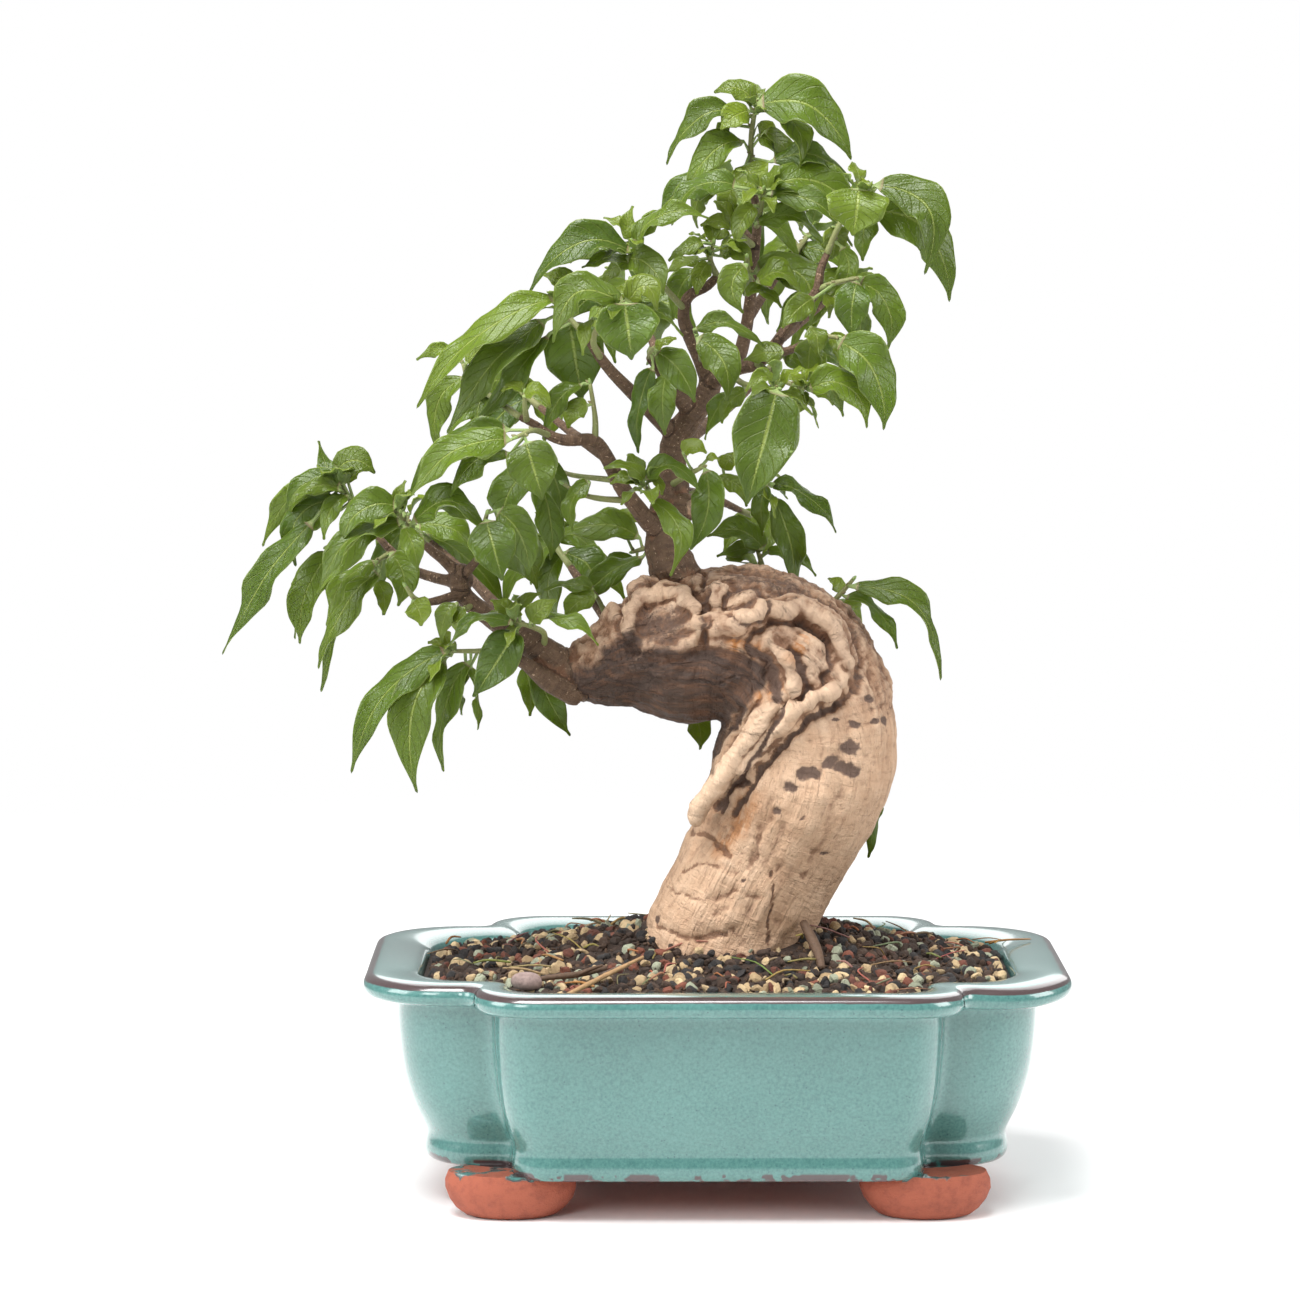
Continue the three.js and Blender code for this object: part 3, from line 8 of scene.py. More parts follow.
import enum
import logging
import math
import random
from collections.abc import Callable
from dataclasses import dataclass, field

import bpy
import numpy as np
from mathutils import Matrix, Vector, kdtree, noise


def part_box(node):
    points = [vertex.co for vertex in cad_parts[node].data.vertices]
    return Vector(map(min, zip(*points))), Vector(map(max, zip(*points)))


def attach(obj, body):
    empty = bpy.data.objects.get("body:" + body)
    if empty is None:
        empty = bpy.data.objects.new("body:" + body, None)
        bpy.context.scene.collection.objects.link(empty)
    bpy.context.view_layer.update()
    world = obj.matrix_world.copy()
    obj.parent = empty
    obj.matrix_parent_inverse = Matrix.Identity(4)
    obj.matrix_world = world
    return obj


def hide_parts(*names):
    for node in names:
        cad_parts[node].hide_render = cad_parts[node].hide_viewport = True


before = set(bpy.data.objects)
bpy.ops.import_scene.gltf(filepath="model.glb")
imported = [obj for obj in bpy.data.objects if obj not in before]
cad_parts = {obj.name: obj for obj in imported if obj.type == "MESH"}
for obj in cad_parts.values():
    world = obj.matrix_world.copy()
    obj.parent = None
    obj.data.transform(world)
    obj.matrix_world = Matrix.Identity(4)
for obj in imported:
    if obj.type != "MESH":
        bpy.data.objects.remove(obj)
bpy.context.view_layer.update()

LOG = logging.getLogger("bonsai")
MM = 0.001
POT_LOW, POT_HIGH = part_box("pot")
ORIGIN = np.array(((POT_LOW.x + POT_HIGH.x) / 2, (POT_LOW.y + POT_HIGH.y) / 2, 0.0))
EYE = np.array((-20.0, -1300.0, 288.0))
CROWN_DEPTH = 1.35
FRONT = np.array((0.0, -1.0, 0.0))

Row = tuple[float, ...]
Rows = list[Row]
Colour = tuple[float, float, float, float]


@dataclass(frozen=True)
class ShootPlan:
    """A leafy shoot: its stem as (x, z, y) and its leaves as rows of eight numbers."""

    stem: Rows
    leaves: Rows
    on_trunk: bool = False


# Trunk and woody branches: (x, z, y, radius)
TRUNK_SPINE: Rows = [
    (-1, 40, 6, 13), (-1, 56, 6, 22.5), (1, 68, 5, 25), (5, 80, 5, 24.5), (10, 91, 4, 24),
    (15.5, 102, 4, 24), (21, 113, 3, 25.5), (25, 124, 2, 27.5), (27, 134, 2, 27.5), (27, 144, 1, 26.5),
    (22, 155, 1, 26.5), (13, 162, 0, 25.5), (2, 164, 0, 23.5), (-9, 163, 0, 22.5), (-19, 161.5, 0, 20),
    (-28, 159.5, -1, 15.5), (-35, 157, -2, 12), (-42, 156.5, -3, 9),
]
BRANCHES: list[Rows] = [
    [
        (-10, 172, 0, 9), (-12, 184, 0, 7.4), (-15, 193, 0, 6.3), (-15, 203, 1, 5.7), (-13, 212, 2, 5),
        (-13.5, 220, 2, 4.4), (-12, 227, 1, 4.2), (-8, 233, 0, 4), (-3, 240, -1, 3.6),
        (-2, 245, -1, 3.1),
    ],
    [
        (-2, 243, -1, 3), (-4.5, 250, -2, 2.6), (-8, 257, -3, 2.2), (-10, 263, -4, 1.9),
        (-8.5, 269, -4, 1.7), (-3, 272, -3, 1.5), (0, 275, -2, 1.3),
    ],
    [
        (-2, 243, 0, 2.8), (4, 247, 2, 2.4), (7, 252, 3, 2.2), (9.5, 264, 5, 1.9), (11, 280, 6, 1.7),
        (12, 292, 6, 1.4), (10.5, 302, 5, 1.2),
    ],
    [
        (-1, 244, -3, 2.6), (6, 247.5, -6, 2.2), (12, 249, -8, 2), (17, 254, -9, 1.9),
        (22, 261, -10, 1.7), (27, 267, -11, 1.6), (30, 271, -12, 1.5), (31, 277, -12, 1.3),
        (33, 282, -12, 1.1),
    ],
    [(16, 252, -9, 1.5), (22, 253, -12, 1.3), (26, 255, -14, 1.1)],
    [
        (-13, 228, 1, 2.8), (-17, 232, -3, 2.5), (-25, 240, -9, 2.1), (-31, 246, -14, 1.8),
        (-35, 251, -17, 1.6), (-39, 257, -18, 1.3),
    ],
    [(-8, 235, 0, 2.8), (-12, 240, -6, 2.4), (-17, 247, -12, 1.8), (-20, 251, -16, 1.5)],
    [
        (-15, 198, 0, 3.4), (-20, 201, -3, 2.9), (-24, 206, -6, 2.6), (-28.5, 212, -9, 2.4),
        (-33, 221, -12, 2.2), (-37, 226, -14, 2), (-45, 226, -17, 1.8), (-50, 227.5, -18, 1.6),
        (-55, 231, -19, 1.3), (-59, 233, -20, 1.1),
    ],
    [
        (-36, 156, -2, 10), (-43, 155.5, -3, 7.8), (-50, 159.5, -5, 5.8), (-57, 166, -7, 4.6),
        (-63, 169.5, -9, 3.7), (-69, 173.5, -11, 3), (-75, 178, -12, 2.9), (-77.5, 183, -12, 3),
        (-76, 188, -12, 2.3),
    ],
    [(-77, 185, -12, 2), (-82, 190, -12, 1.7), (-86, 193, -13, 1.4), (-88, 195, -13, 1.2)],
    [
        (-77, 183, -11, 1.9), (-84, 184.5, -8, 1.7), (-89, 186, -6, 1.6), (-94, 188, -5, 1.4),
        (-97, 192, -4, 1.3), (-100, 195, -4, 1.2), (-103, 199, -4, 1.2), (-106, 203, -4, 1.1),
    ],
    [(-76, 180, -13, 1.8), (-83, 178, -16, 1.4), (-88, 177, -17, 1.2)],
    [(-42, 150, -5, 4.5), (-50, 153, -9, 3.2), (-58, 159, -12, 2), (-62, 160, -12, 1.7)],
    [(-75.5, 186, -13, 1.6), (-72, 190, -15, 1.2)],
]
TRUNK_RELIEF: list[Rows] = [
    [(20, 151, -24, 2.8), (12, 139, -23.5, 3.2), (2, 125, -19, 3), (-6, 112, -14, 2.3)],
    [(34, 150, -23, 2.2), (22, 143, -25.5, 2.6), (7, 126, -22, 1.8)],
    [(12, 168, -18, 1.8), (20, 162, -25, 1.9), (23.5, 154, -26, 1.9), (20, 145, -21, 1.7)],
    [
        (-6, 170, -21, 3), (5, 171, -23, 3.2), (15, 175, -21, 3.4), (27, 175.5, -18, 3.4),
        (36, 169, -17, 3.2), (38, 158, -18, 3),
    ],
    [(-25, 166, -15, 2.4), (-24, 176, -12, 2.6), (-13, 181.5, -13, 2.6), (-6, 174, -18, 2.6)],
]
BACK_TWIGS: list[Rows] = [
    [(-12, 224, 2, 2.6), (-4, 230, 16, 2), (6, 238, 28, 1.5), (14, 246, 36, 1.1)],
    [(-8, 233, 1, 2.4), (-13, 243, 16, 1.9), (-19, 255, 28, 1.4), (-23, 264, 34, 1.1)],
    [(9.3, 262.5, 5, 1.8), (15, 271, 17, 1.4), (21, 279, 25, 1.1)],
    [(11.3, 284, 6, 1.5), (7, 290, 17, 1.2), (3, 296, 23, 1)],
    [(-57, 166, -3, 2.6), (-66, 176, 10, 1.9), (-76.5, 187, 19, 1.4), (-86, 195.5, 24, 1.1)],
    [(-33, 221, -12, 2), (-43, 228, 6, 1.5), (-53, 236, 17, 1.1)],
    [(18.5, 256, -9.5, 1.7), (26, 262, 5, 1.3), (33, 267.8, 14, 1)],
    [(-13, 211, 3, 2), (-2, 209, 20, 1.5), (7, 205, 29, 1.1)],
    [(-30, 168, 8, 2.2), (-37, 178, 16, 1.7), (-44, 188, 22, 1.2)],
]
# (x, z, y, radius)
KNOBS: Rows = [
    (9, 176, -18, 5), (0, 179, -15, 4), (-21, 180, -8, 5.5), (29, 173, -6, 8), (42, 158, 0, 7.5),
    (12, 179, 4, 8.5), (-9, 206, -3, 4.5), (-77, 184, -12, 4), (-29, 170, -4, 6.5),
]
# Parts of the crown that are dense from the front: (x, z, half width, half height)
DENSE: Rows = [
    (14, 288, 25, 26), (6, 268, 26, 14), (-34, 262, 23, 17), (-66, 232, 20, 24), (34, 258, 16, 26),
    (55, 288, 12, 12), (-98, 194, 24, 18), (-44, 180, 22, 14), (10, 203, 16, 14), (-60, 196, 14, 18),
    (-10, 282, 16, 14),
]
# Leafy shoots: the stem, and leaves as (base x, base z, tip x, tip z, width, bow, roll, lean)
SHOOTS: dict[str, ShootPlan] = {
    "apex_shoot": ShootPlan(
        [(10.4, 302.4, 5), (10, 312, 3), (10.5, 320, 1), (12, 326.5, 0)],
        [
            (10.5, 326.5, -1, 329.5, 6, 3, 60, 0.1), (9.5, 324, 1, 318.5, 8, 1, 70, -0.4),
            (6, 324, -15, 308, 6.5, 5, 50, 0.05), (4, 320, -5, 308, 4, 0.5, 40, 0.3),
            (12, 326, 40, 309.5, 13, 7, 65, -0.05), (12, 325, 24.7, 307, 7, 6, 50, -0.35),
            (12, 320, 17, 314, 5, 1, 60, 0.5), (12, 317, 20, 306, 4.5, 2, 55, 0.3),
            (14, 318, 20.5, 306, 5, 3, 60, 0.1), (16, 309, 41, 302, 6, 5, 60, 0.1),
            (8, 315, -9, 299, 8, 4, 60, -0.1), (8.5, 308, 13, 300, 11, 0, 85, -0.5),
        ],
    ),
    "upper_front_shoot": ShootPlan(
        [(11.8, 290, 5), (13, 295, -1), (14, 301, -7)],
        [
            (6, 301.5, -13.5, 290, 6, 6, 45, -0.1), (5, 301, 4, 293, 6, 1, 60, 0.4),
            (11.5, 296, 6, 283.5, 6, 2, 80, -0.35), (15, 299.5, 40.5, 283.7, 6, 5, 60, -0.15),
            (12.5, 295, 27, 294, 4, 5, 30, -0.2), (16, 301.5, 42, 290, 11, 7, 65, 0.1),
            (11, 290.5, 33.5, 281.7, 5, 6, 55, -0.1),
        ],
    ),
    "upper_inner_shoot": ShootPlan(
        [(11, 284, 6), (7, 287.5, 0), (4, 290, -3)],
        [
            (4, 291, -1, 297.5, 4, 1, 50, 0.1), (4, 289, -5, 290, 4, 2, 60, -0.3),
            (4, 287, -6, 286, 2.5, 1, 50, 0.3),
        ],
    ),
    "right_top_shoot": ShootPlan(
        [(33, 282, -12), (35, 287, -13), (39, 295, -14), (43.5, 301.5, -15)],
        [
            (42.5, 301, 40.5, 287, 17, 0, 85, -0.25), (43, 300, 43, 304.5, 5, 0, 60, 0.3),
            (47, 302, 62, 275.5, 11, 10, 75, -0.2), (46, 295, 69.5, 267.3, 13, 8, 70, 0.15),
            (44, 295, 43.5, 279.5, 7, 0, 60, 0.1), (37, 284, 33.3, 268.5, 6, -4, 75, 0.2),
            (34, 290, 34, 280, 8, 1, 60, 0.4), (36, 291, 34, 297, 5, 1, 60, 0.4),
        ],
    ),
    "centre_high_shoot": ShootPlan(
        [(10.5, 271, 5), (9.5, 276, -4), (9, 281, -12)],
        [
            (9, 278.5, 8, 264, 8, 4, 80, -0.35), (11, 276, 28, 260, 10, 9, 60, -0.25),
            (12, 273, 25, 270, 6, 4, 40, 0.1), (8, 269.5, 19.3, 265.5, 3.5, 3, 50, -0.2),
        ],
    ),
    "upper_left_shoot": ShootPlan(
        [(0, 275, -2), (-2, 280, -5), (-1, 285, -8)],
        [
            (1, 281, 10.5, 278, 6, 3, 60, -0.3), (-2.5, 279, -6, 269.5, 5.5, 1, 80, -0.4),
            (-2, 281, -11, 281, 3, 2, 40, -0.3), (-4, 285, -14.5, 279.5, 4, 1, 60, -0.1),
            (-5, 280, -15.5, 276, 3.5, 1, 50, 0.2), (-6, 277, -13, 262, 7, 2, 70, 0.25),
        ],
    ),
    "left_peak_shoot": ShootPlan(
        [(-9.5, 265, -4), (-15, 271, -10), (-21, 278, -14), (-25, 285, -16)],
        [
            (-24, 284, -2, 292, 5, 6, 45, -0.1), (-24, 286, -10, 295, 4, 2, 60, 0.3),
            (-25, 282, -56, 270, 8, 8, 50, -0.1), (-26, 286, -25, 296, 4, 1, 60, 0.1),
            (-26, 288, -34, 292.5, 3, 1, 50, 0.2), (-27, 280.5, -16, 269.5, 9, 3, 75, -0.4),
            (-25, 278, -40.5, 277.5, 4.5, 2, 45, -0.3), (-30, 283, -44, 279, 5, 2, 60, 0.35),
            (-28, 279, -34, 272, 4, 1, 60, 0.5),
        ],
    ),
    "left_front_shoot": ShootPlan(
        [(-35, 251, -18), (-37, 256, -25), (-34, 262, -31), (-28, 266.5, -35)],
        [
            (-27.5, 267, -25.5, 250, 17, 0, 88, -0.1), (-27.5, 266.5, -49, 255, 8, 9, 45, -0.1),
            (-27, 267, -18, 264.5, 7, 6, 60, -0.3), (-26, 266, -10, 257, 4, 2.5, 55, 0.2),
            (-37, 262.5, -40, 251.3, 3.5, 1, 60, -0.3),
        ],
    ),
    "left_shoulder_shoot": ShootPlan(
        [(-39, 257, -18), (-44, 262.5, -17), (-48, 268, -16)],
        [
            (-43, 269, -52, 275.5, 7, 2, 70, 0.2), (-44, 262, -40.5, 237.5, 17, 0, 88, -0.2),
            (-47, 268, -90, 235.5, 8, 6, 50, -0.1), (-51, 262, -81, 228, 9, 3, 60, -0.05),
            (-50, 258, -77, 224.5, 6, 0, 60, 0.2),
        ],
    ),
    "left_far_shoot": ShootPlan(
        [(-59, 233, -20), (-66, 238, -14), (-74, 244, -9), (-76, 249, -8)],
        [
            (-77, 250, -90, 250, 4, 3, 60, 0.1), (-75, 245, -82, 221, 7, 6, 60, 0.3),
            (-75, 249, -65, 256, 4, 1, 60, 0.2),
        ],
    ),
    "left_twig_shoot": ShootPlan(
        [(-57, 232, -20), (-57.5, 236, -22), (-57.5, 240, -23)],
        [
            (-58, 239, -50, 235.5, 3.5, 3, 40, -0.1), (-58, 240, -64.5, 240.5, 2.5, 2, 40, -0.2),
        ],
    ),
    "bare_twig_shoot": ShootPlan(
        [(-36.5, 226, -14), (-36.5, 233, -15), (-38, 243, -16)],
        [
            (-40, 243, -52, 226, 5, 3, 60, 0.1), (-38.5, 236.5, -44.5, 229.5, 6, 2, 70, -0.1),
        ],
    ),
    "left_middle_shoot": ShootPlan(
        [(-50, 227.5, -18), (-55, 229, -24), (-60, 227, -27)],
        [
            (-57, 225.5, -52.4, 208, 14, 0, 88, -0.15), (-62, 226, -92, 209, 9, 5, 55, -0.1),
            (-62, 222, -80, 209, 7, 4, 50, 0.15), (-62, 229, -93, 208, 8, 5, 60, 0.3),
        ],
    ),
    "left_inner_shoot": ShootPlan(
        [(-28.5, 214, -9), (-35, 214.5, -7), (-45, 216, -5), (-52, 220, -4)],
        [
            (-51, 220, -46.4, 203, 7, 1, 80, -0.2), (-56, 219, -66, 196, 10, 2, 60, 0.3),
            (-54, 214, -50, 190, 9, 2, 70, 0.2),
        ],
    ),
    "left_low_twig_shoot": ShootPlan(
        [(-27.5, 208, -8), (-35, 208.5, -11), (-41, 210, -14), (-46, 213, -15)],
        [
            (-38, 213.5, -43, 198.5, 5, 3, 60, -0.2),
        ],
    ),
    "bough_front_shoot": ShootPlan(
        [(-72, 190, -15), (-71, 195, -19), (-70, 200, -23), (-69, 204, -25)],
        [
            (-69, 202, -64.5, 183.7, 13, 0, 85, -0.15), (-66, 205, -56.5, 185.5, 10, 3, 80, 0.15),
            (-66, 197, -54, 181, 10, 3, 60, 0.5),
        ],
    ),
    "right_upper_shoot": ShootPlan(
        [(30, 271, -12), (35, 273, -14), (42, 274.5, -16)],
        [
            (42, 273.5, 40.5, 256.3, 10, 1, 85, -0.15), (42, 273.5, 51, 253, 9, 5, 70, 0.2),
            (32, 270, 33.5, 262.5, 3, 1, 60, 0.3), (29, 268.5, 19.5, 259.5, 7, 1, 85, -0.4),
        ],
    ),
    "right_middle_shoot": ShootPlan(
        [(26, 255, -14), (31, 257, -17), (36, 257, -19)],
        [
            (36, 256, 50, 229, 13, 5, 70, -0.1), (33, 257, 36.5, 247, 6, 3, 70, 0.3),
            (28, 260, 30, 251, 6, 1, 70, -0.3), (29, 256, 28, 243, 7, 1, 60, 0.3),
        ],
    ),
    "right_lower_shoot": ShootPlan(
        [(12, 249, -9), (17, 245.5, -14), (22, 243, -17), (27, 241.5, -19)],
        [
            (27, 241, 45, 229.5, 8, 7, 50, -0.1), (28, 241.5, 35, 236.5, 2.5, 1, 50, 0.2),
            (27.5, 240, 23.5, 233, 5, 1, 70, 0.2), (26, 242, 19, 244, 3, 2, 50, -0.2),
            (20, 252, 8, 250, 6, 1, 60, 0.4),
        ],
    ),
    "front_right_shoot": ShootPlan(
        [(4, 246, -6), (8, 243, -14), (14, 242, -22), (18.5, 241.5, -28)],
        [
            (18, 241, 9, 206.5, 18, 0, 88, -0.1), (19, 241, 8.5, 240.5, 4, 4, 50, -0.2),
            (19, 241, 14, 246, 4, 1, 60, 0.3), (9, 240.5, 1.5, 231, 5, 2, 60, 0.2),
            (8, 240, -3.5, 226, 5, 3, 60, 0.35),
        ],
    ),
    "front_centre_shoot": ShootPlan(
        [(-4.5, 250, -3), (-5, 253, -10), (-6, 257, -17)],
        [
            (-6, 256.5, 3, 237.7, 10, 4, 80, -0.2), (-7, 259, 14, 254, 4.5, 4, 55, -0.1),
        ],
    ),
    "front_left_shoot": ShootPlan(
        [(-20, 251, -16), (-19.5, 253, -20), (-18, 254, -25)],
        [
            (-18, 252.5, -6.5, 237.3, 9, 2, 85, -0.15), (-18, 253, -12, 256.5, 2.5, 1, 50, -0.1),
            (-19, 248, -23.5, 222, 6, 2, 70, 0.2), (-15, 246, -15.5, 227.5, 8, 1, 80, 0.3),
        ],
    ),
    "low_centre_shoot": ShootPlan(
        [(-13, 213, -2), (-8, 216, -8), (-4, 218, -11)],
        [
            (-3.5, 217.5, -8, 193, 9.5, -3, 80, -0.15), (-10, 222, -3, 222, 4.5, 2, 50, -0.2),
            (-3, 220, 1, 220, 2, 1, 50, 0.3),
        ],
    ),
    "low_left_shoot": ShootPlan(
        [(-15, 205, -3), (-19, 209, -12), (-22.5, 213.5, -16)],
        [
            (-22, 214, -5, 210, 4.5, 6, 45, -0.2), (-22, 213.5, -34, 217.5, 3.5, 3, 50, -0.3),
            (-23, 213, -32, 212.8, 3, 2, 40, -0.5), (-21, 214, -16.5, 209.5, 3, 2, 50, -0.5),
            (-20, 208, -14, 185, 6.5, 6, 65, -0.25),
        ],
    ),
    "leader_left_shoot": ShootPlan(
        [(-16, 193, 4), (-21, 193.5, 8), (-25, 192.5, 10)],
        [
            (-23, 196.5, -51, 195, 7.5, 5, 55, 0.2), (-30, 203.5, -21, 200.5, 4, 1, 50, 0.3),
            (-22, 191, -45, 174, 6, 2, 60, -0.1), (-24, 190, -42, 177, 7, 2, 60, 0.4),
        ],
    ),
    "bough_top_shoot": ShootPlan(
        [(-32, 170, 2), (-35, 177, 2), (-38, 182, 1)],
        [
            (-37, 181, -52, 180.5, 3.5, 2, 50, 0.2), (-36, 179, -46, 171, 6, 2, 60, 0.3),
        ],
    ),
    "right_low_shoot": ShootPlan(
        [(-12, 208, 3), (-2, 212, 6), (8, 213.5, 6), (16, 213, 4)],
        [
            (0, 214, 9, 206, 5, 3, 60, -0.2), (15, 213, 14, 197, 5, 1, 70, 0.2),
            (16, 212.5, 36, 198, 5, 4, 50, -0.1), (17, 209, 23.5, 178.5, 8, 2, 75, -0.2),
            (2, 217, 8, 222, 5, 1, 60, 0.2),
        ],
    ),
    "right_foot_shoot": ShootPlan(
        [(15, 182, 8), (13.5, 189, 10), (12, 194, 10)],
        [
            (14, 193, -3, 197, 7, 4, 55, 0.1), (12, 193, 0, 191, 4, 1, 60, -0.2),
            (15, 192, 30, 185, 4, 3, 60, 0.1), (3, 190, 12.5, 187.5, 4.5, 3, 50, 0.4),
        ],
    ),
    "trunk_right_shoot": ShootPlan(
        [(31, 171, 2), (34, 176, 2), (38, 180.5, 2), (41, 184, 2)],
        [
            (40, 182, 67.6, 153.5, 6, 10, 50, -0.1), (38.5, 179, 54.5, 163, 4, 4, 50, -0.2),
            (37, 180, 33.5, 184.5, 4, 1, 50, 0.3), (38, 178, 43, 168, 4, 2, 60, 0.5),
        ],
    ),
    "trunk_back_shoot": ShootPlan(
        [(40, 117, 17), (43.5, 119, 24), (45, 121, 27)],
        [
            (44.5, 121, 46, 99.5, 5, 2, 60, 0.05),
        ],
        on_trunk=True,
    ),
    "bough_under_shoot": ShootPlan(
        [(-12, 152, 18), (-11, 148, 23), (-10.5, 146, 25)],
        [
            (-10, 147, -5, 132.5, 8, 2, 60, 0.1),
        ],
        on_trunk=True,
    ),
    "bough_tip_shoot": ShootPlan(
        [(-88, 195, -13), (-92, 199, -17), (-97, 205.5, -20)],
        [
            (-96, 206, -113, 194.5, 8.5, 5, 60, -0.3), (-94, 201, -120, 179.5, 5.5, 6, 45, -0.3),
            (-99, 203, -120.3, 179.5, 8, 2, 70, 0.05), (-95, 205, -93.3, 214, 3.5, 1, 60, 0.1),
            (-91.5, 201, -68.5, 196.5, 6.5, 8, 45, -0.25), (-90, 203, -69, 199, 5, 5, 50, 0.1),
            (-94, 200, -90, 186.5, 6, 1, 75, -0.1),
        ],
    ),
    "far_left_shoot": ShootPlan(
        [(-106, 203, -4), (-109, 207, -4), (-112, 210.5, -4), (-114, 215, -4)],
        [
            (-113, 211.5, -129.5, 205, 7, 5, 60, -0.1), (-116, 215, -136.5, 194, 6.5, 4, 72, 0.2),
            (-113, 211, -128.5, 206, 4, 3.5, 60, -0.4), (-114, 214, -127.3, 200.5, 7, 3, 75, 0.45),
            (-112.5, 211, -119.5, 226, 4.5, -1, 60, 0.1), (-114, 217, -102.5, 216, 8, 3.5, 65, -0.1),
            (-110.5, 213, -103, 217, 2.5, 2, 55, 0.2), (-110.5, 209.5, -118, 196, 5, 2.5, 75, -0.4),
            (-114, 208, -126.5, 188, 8, 7, 70, 0.1), (-121, 202, -149, 161.3, 8, 2, 60, 0.15),
            (-113, 205, -129, 193, 3, 2, 50, 0.35),
        ],
    ),
    "low_outer_shoot": ShootPlan(
        [(-103, 199, -4), (-110, 197, -1), (-117, 194, 2)],
        [
            (-116, 192, -125.5, 164.5, 10, 3, 75, -0.1), (-117, 193, -127, 166, 6, 2, 60, 0.3),
            (-114, 190, -119.3, 150, 5, -2, 60, 0.1),
        ],
    ),
    "low_hanging_shoot": ShootPlan(
        [(-97, 192, -4), (-100, 191, -8), (-103, 189, -12)],
        [
            (-102, 189.5, -117.5, 170, 5, 4, 55, -0.2), (-101, 187, -120, 157, 8, 3, 55, 0.15),
            (-98, 192, -96, 176, 9, 3, 80, -0.3), (-102, 184, -100.3, 173.3, 5, 1, 70, 0.4),
        ],
    ),
    "stub_shoot": ShootPlan(
        [(-88, 177, -17), (-91, 178.5, -18), (-93.5, 182, -18)],
        [
            (-91.5, 177.5, -89, 170, 7.5, 1, 85, -0.3),
        ],
    ),
    "bough_bud_shoot": ShootPlan(
        [(-73, 177, -12), (-76, 175, -16), (-78, 176, -18)],
        [
            (-78, 177, -82.5, 165, 5, 2, 65, 0.1), (-76, 175.5, -78, 168, 4, 1, 60, -0.4),
        ],
    ),
    "bough_green_shoot": ShootPlan(
        [(-52, 164, -7), (-52, 168, -14), (-56, 170, -18), (-61.5, 171.3, -20)],
        [
            (-60, 168.5, -73.5, 148.5, 11, 0, 80, -0.1), (-61.5, 170.5, -80.5, 164, 3.5, 5, 45, -0.1),
            (-56, 171, -48, 178, 6, 1, 70, -0.2), (-55, 171.5, -35.5, 164, 3.5, 4, 45, -0.2),
            (-62, 172.5, -68, 178, 5, 1, 60, 0.3), (-61, 172, -52.7, 180, 4, 2, 60, 0.3),
        ],
    ),
    "bough_back_shoot": ShootPlan(
        [(-51, 160, -3), (-53, 160, 6), (-55, 158.5, 9)],
        [
            (-54, 157, -44, 136.7, 8, -1, 80, 0.05), (-58, 158, -56.3, 142.7, 6.5, 1, 80, 0.2),
        ],
    ),
    "low_left_bough_shoot": ShootPlan(
        [(-62, 160, -12), (-67, 162.5, -13), (-73, 162.5, -14), (-82, 162.5, -15)],
        [
            (-80, 162.5, -110.3, 125.3, 8.5, 7, 60, -0.05),
            (-81.5, 161, -90.3, 119.3, 12, 6, 75, -0.2), (-74, 159.5, -82.3, 125.7, 6.5, 4, 60, 0.15),
            (-75.5, 158, -76.8, 143, 3.5, 1, 60, 0.3), (-74, 158, -72, 138.5, 2.5, 1, 50, 0.35),
            (-80, 163, -87, 165, 3, 1, 60, 0.3),
        ],
    ),
}


def seen(x: float, z: float, y: float) -> np.ndarray:
    """Move a place that is seen at (x, z) to the depth y.

    Args:
        x: sideways place in the plane y = 0, in millimetres.
        z: height in the plane y = 0, in millimetres.
        y: the depth, in millimetres.

    Returns:
        The place on the tree, in millimetres.
    """
    reach = (y - EYE[1]) / -EYE[1]
    return np.array((EYE[0] + (x - EYE[0]) * reach, y, EYE[2] + (z - EYE[2]) * reach))


def as_seen(places: np.ndarray) -> tuple[np.ndarray, np.ndarray]:
    """Where places on the tree are seen from the front.

    Args:
        places: one row of x, y, z for each place, in millimetres.

    Returns:
        Their x and their z in the plane y = 0.
    """
    reach = (places[:, 1] - EYE[1]) / -EYE[1]
    return EYE[0] + (places[:, 0] - EYE[0]) / reach, EYE[2] + (places[:, 2] - EYE[2]) / reach


def deepen(rows: Rows) -> Rows:
    """The same rows with the crown's depth."""
    return [(row[0], row[1], row[2] * CROWN_DEPTH, *row[3:]) for row in rows]


def unit(vectors: np.ndarray) -> np.ndarray:
    """The same vectors with a length of 1."""
    return vectors / np.maximum(np.linalg.norm(vectors, axis=-1, keepdims=True), 1e-12)


def circle_turns(sides: int) -> np.ndarray:
    """The angles of evenly spaced points around a circle."""
    return np.arange(sides) * 2 * math.pi / sides


def smooth_step(values: np.ndarray, low: float, high: float) -> np.ndarray:
    """A soft rise from 0 at low to 1 at high."""
    share = np.clip((values - low) / (high - low), 0.0, 1.0)
    return share * share * (3 - 2 * share)


def soft_path(stops: np.ndarray, steps: int) -> np.ndarray:
    """A smooth line through stops.

    Args:
        stops: one row of numbers for each stop.
        steps: how many steps go from one stop to the next.

    Returns:
        One row for each point of the line.
    """
    padded = np.vstack((2 * stops[0] - stops[1], stops, 2 * stops[-1] - stops[-2]))
    line = []
    for i in range(1, len(padded) - 2):
        before, start, end, after = padded[i - 1:i + 3]
        for t in np.arange(steps) / steps:
            line.append(
                0.5 * (
                    2 * start + (end - before) * t
                    + (2 * before - 5 * start + 4 * end - after) * t * t
                    + (3 * start - before - 3 * end + after) * t ** 3
                )
            )
    return np.array([*line, stops[-1]])


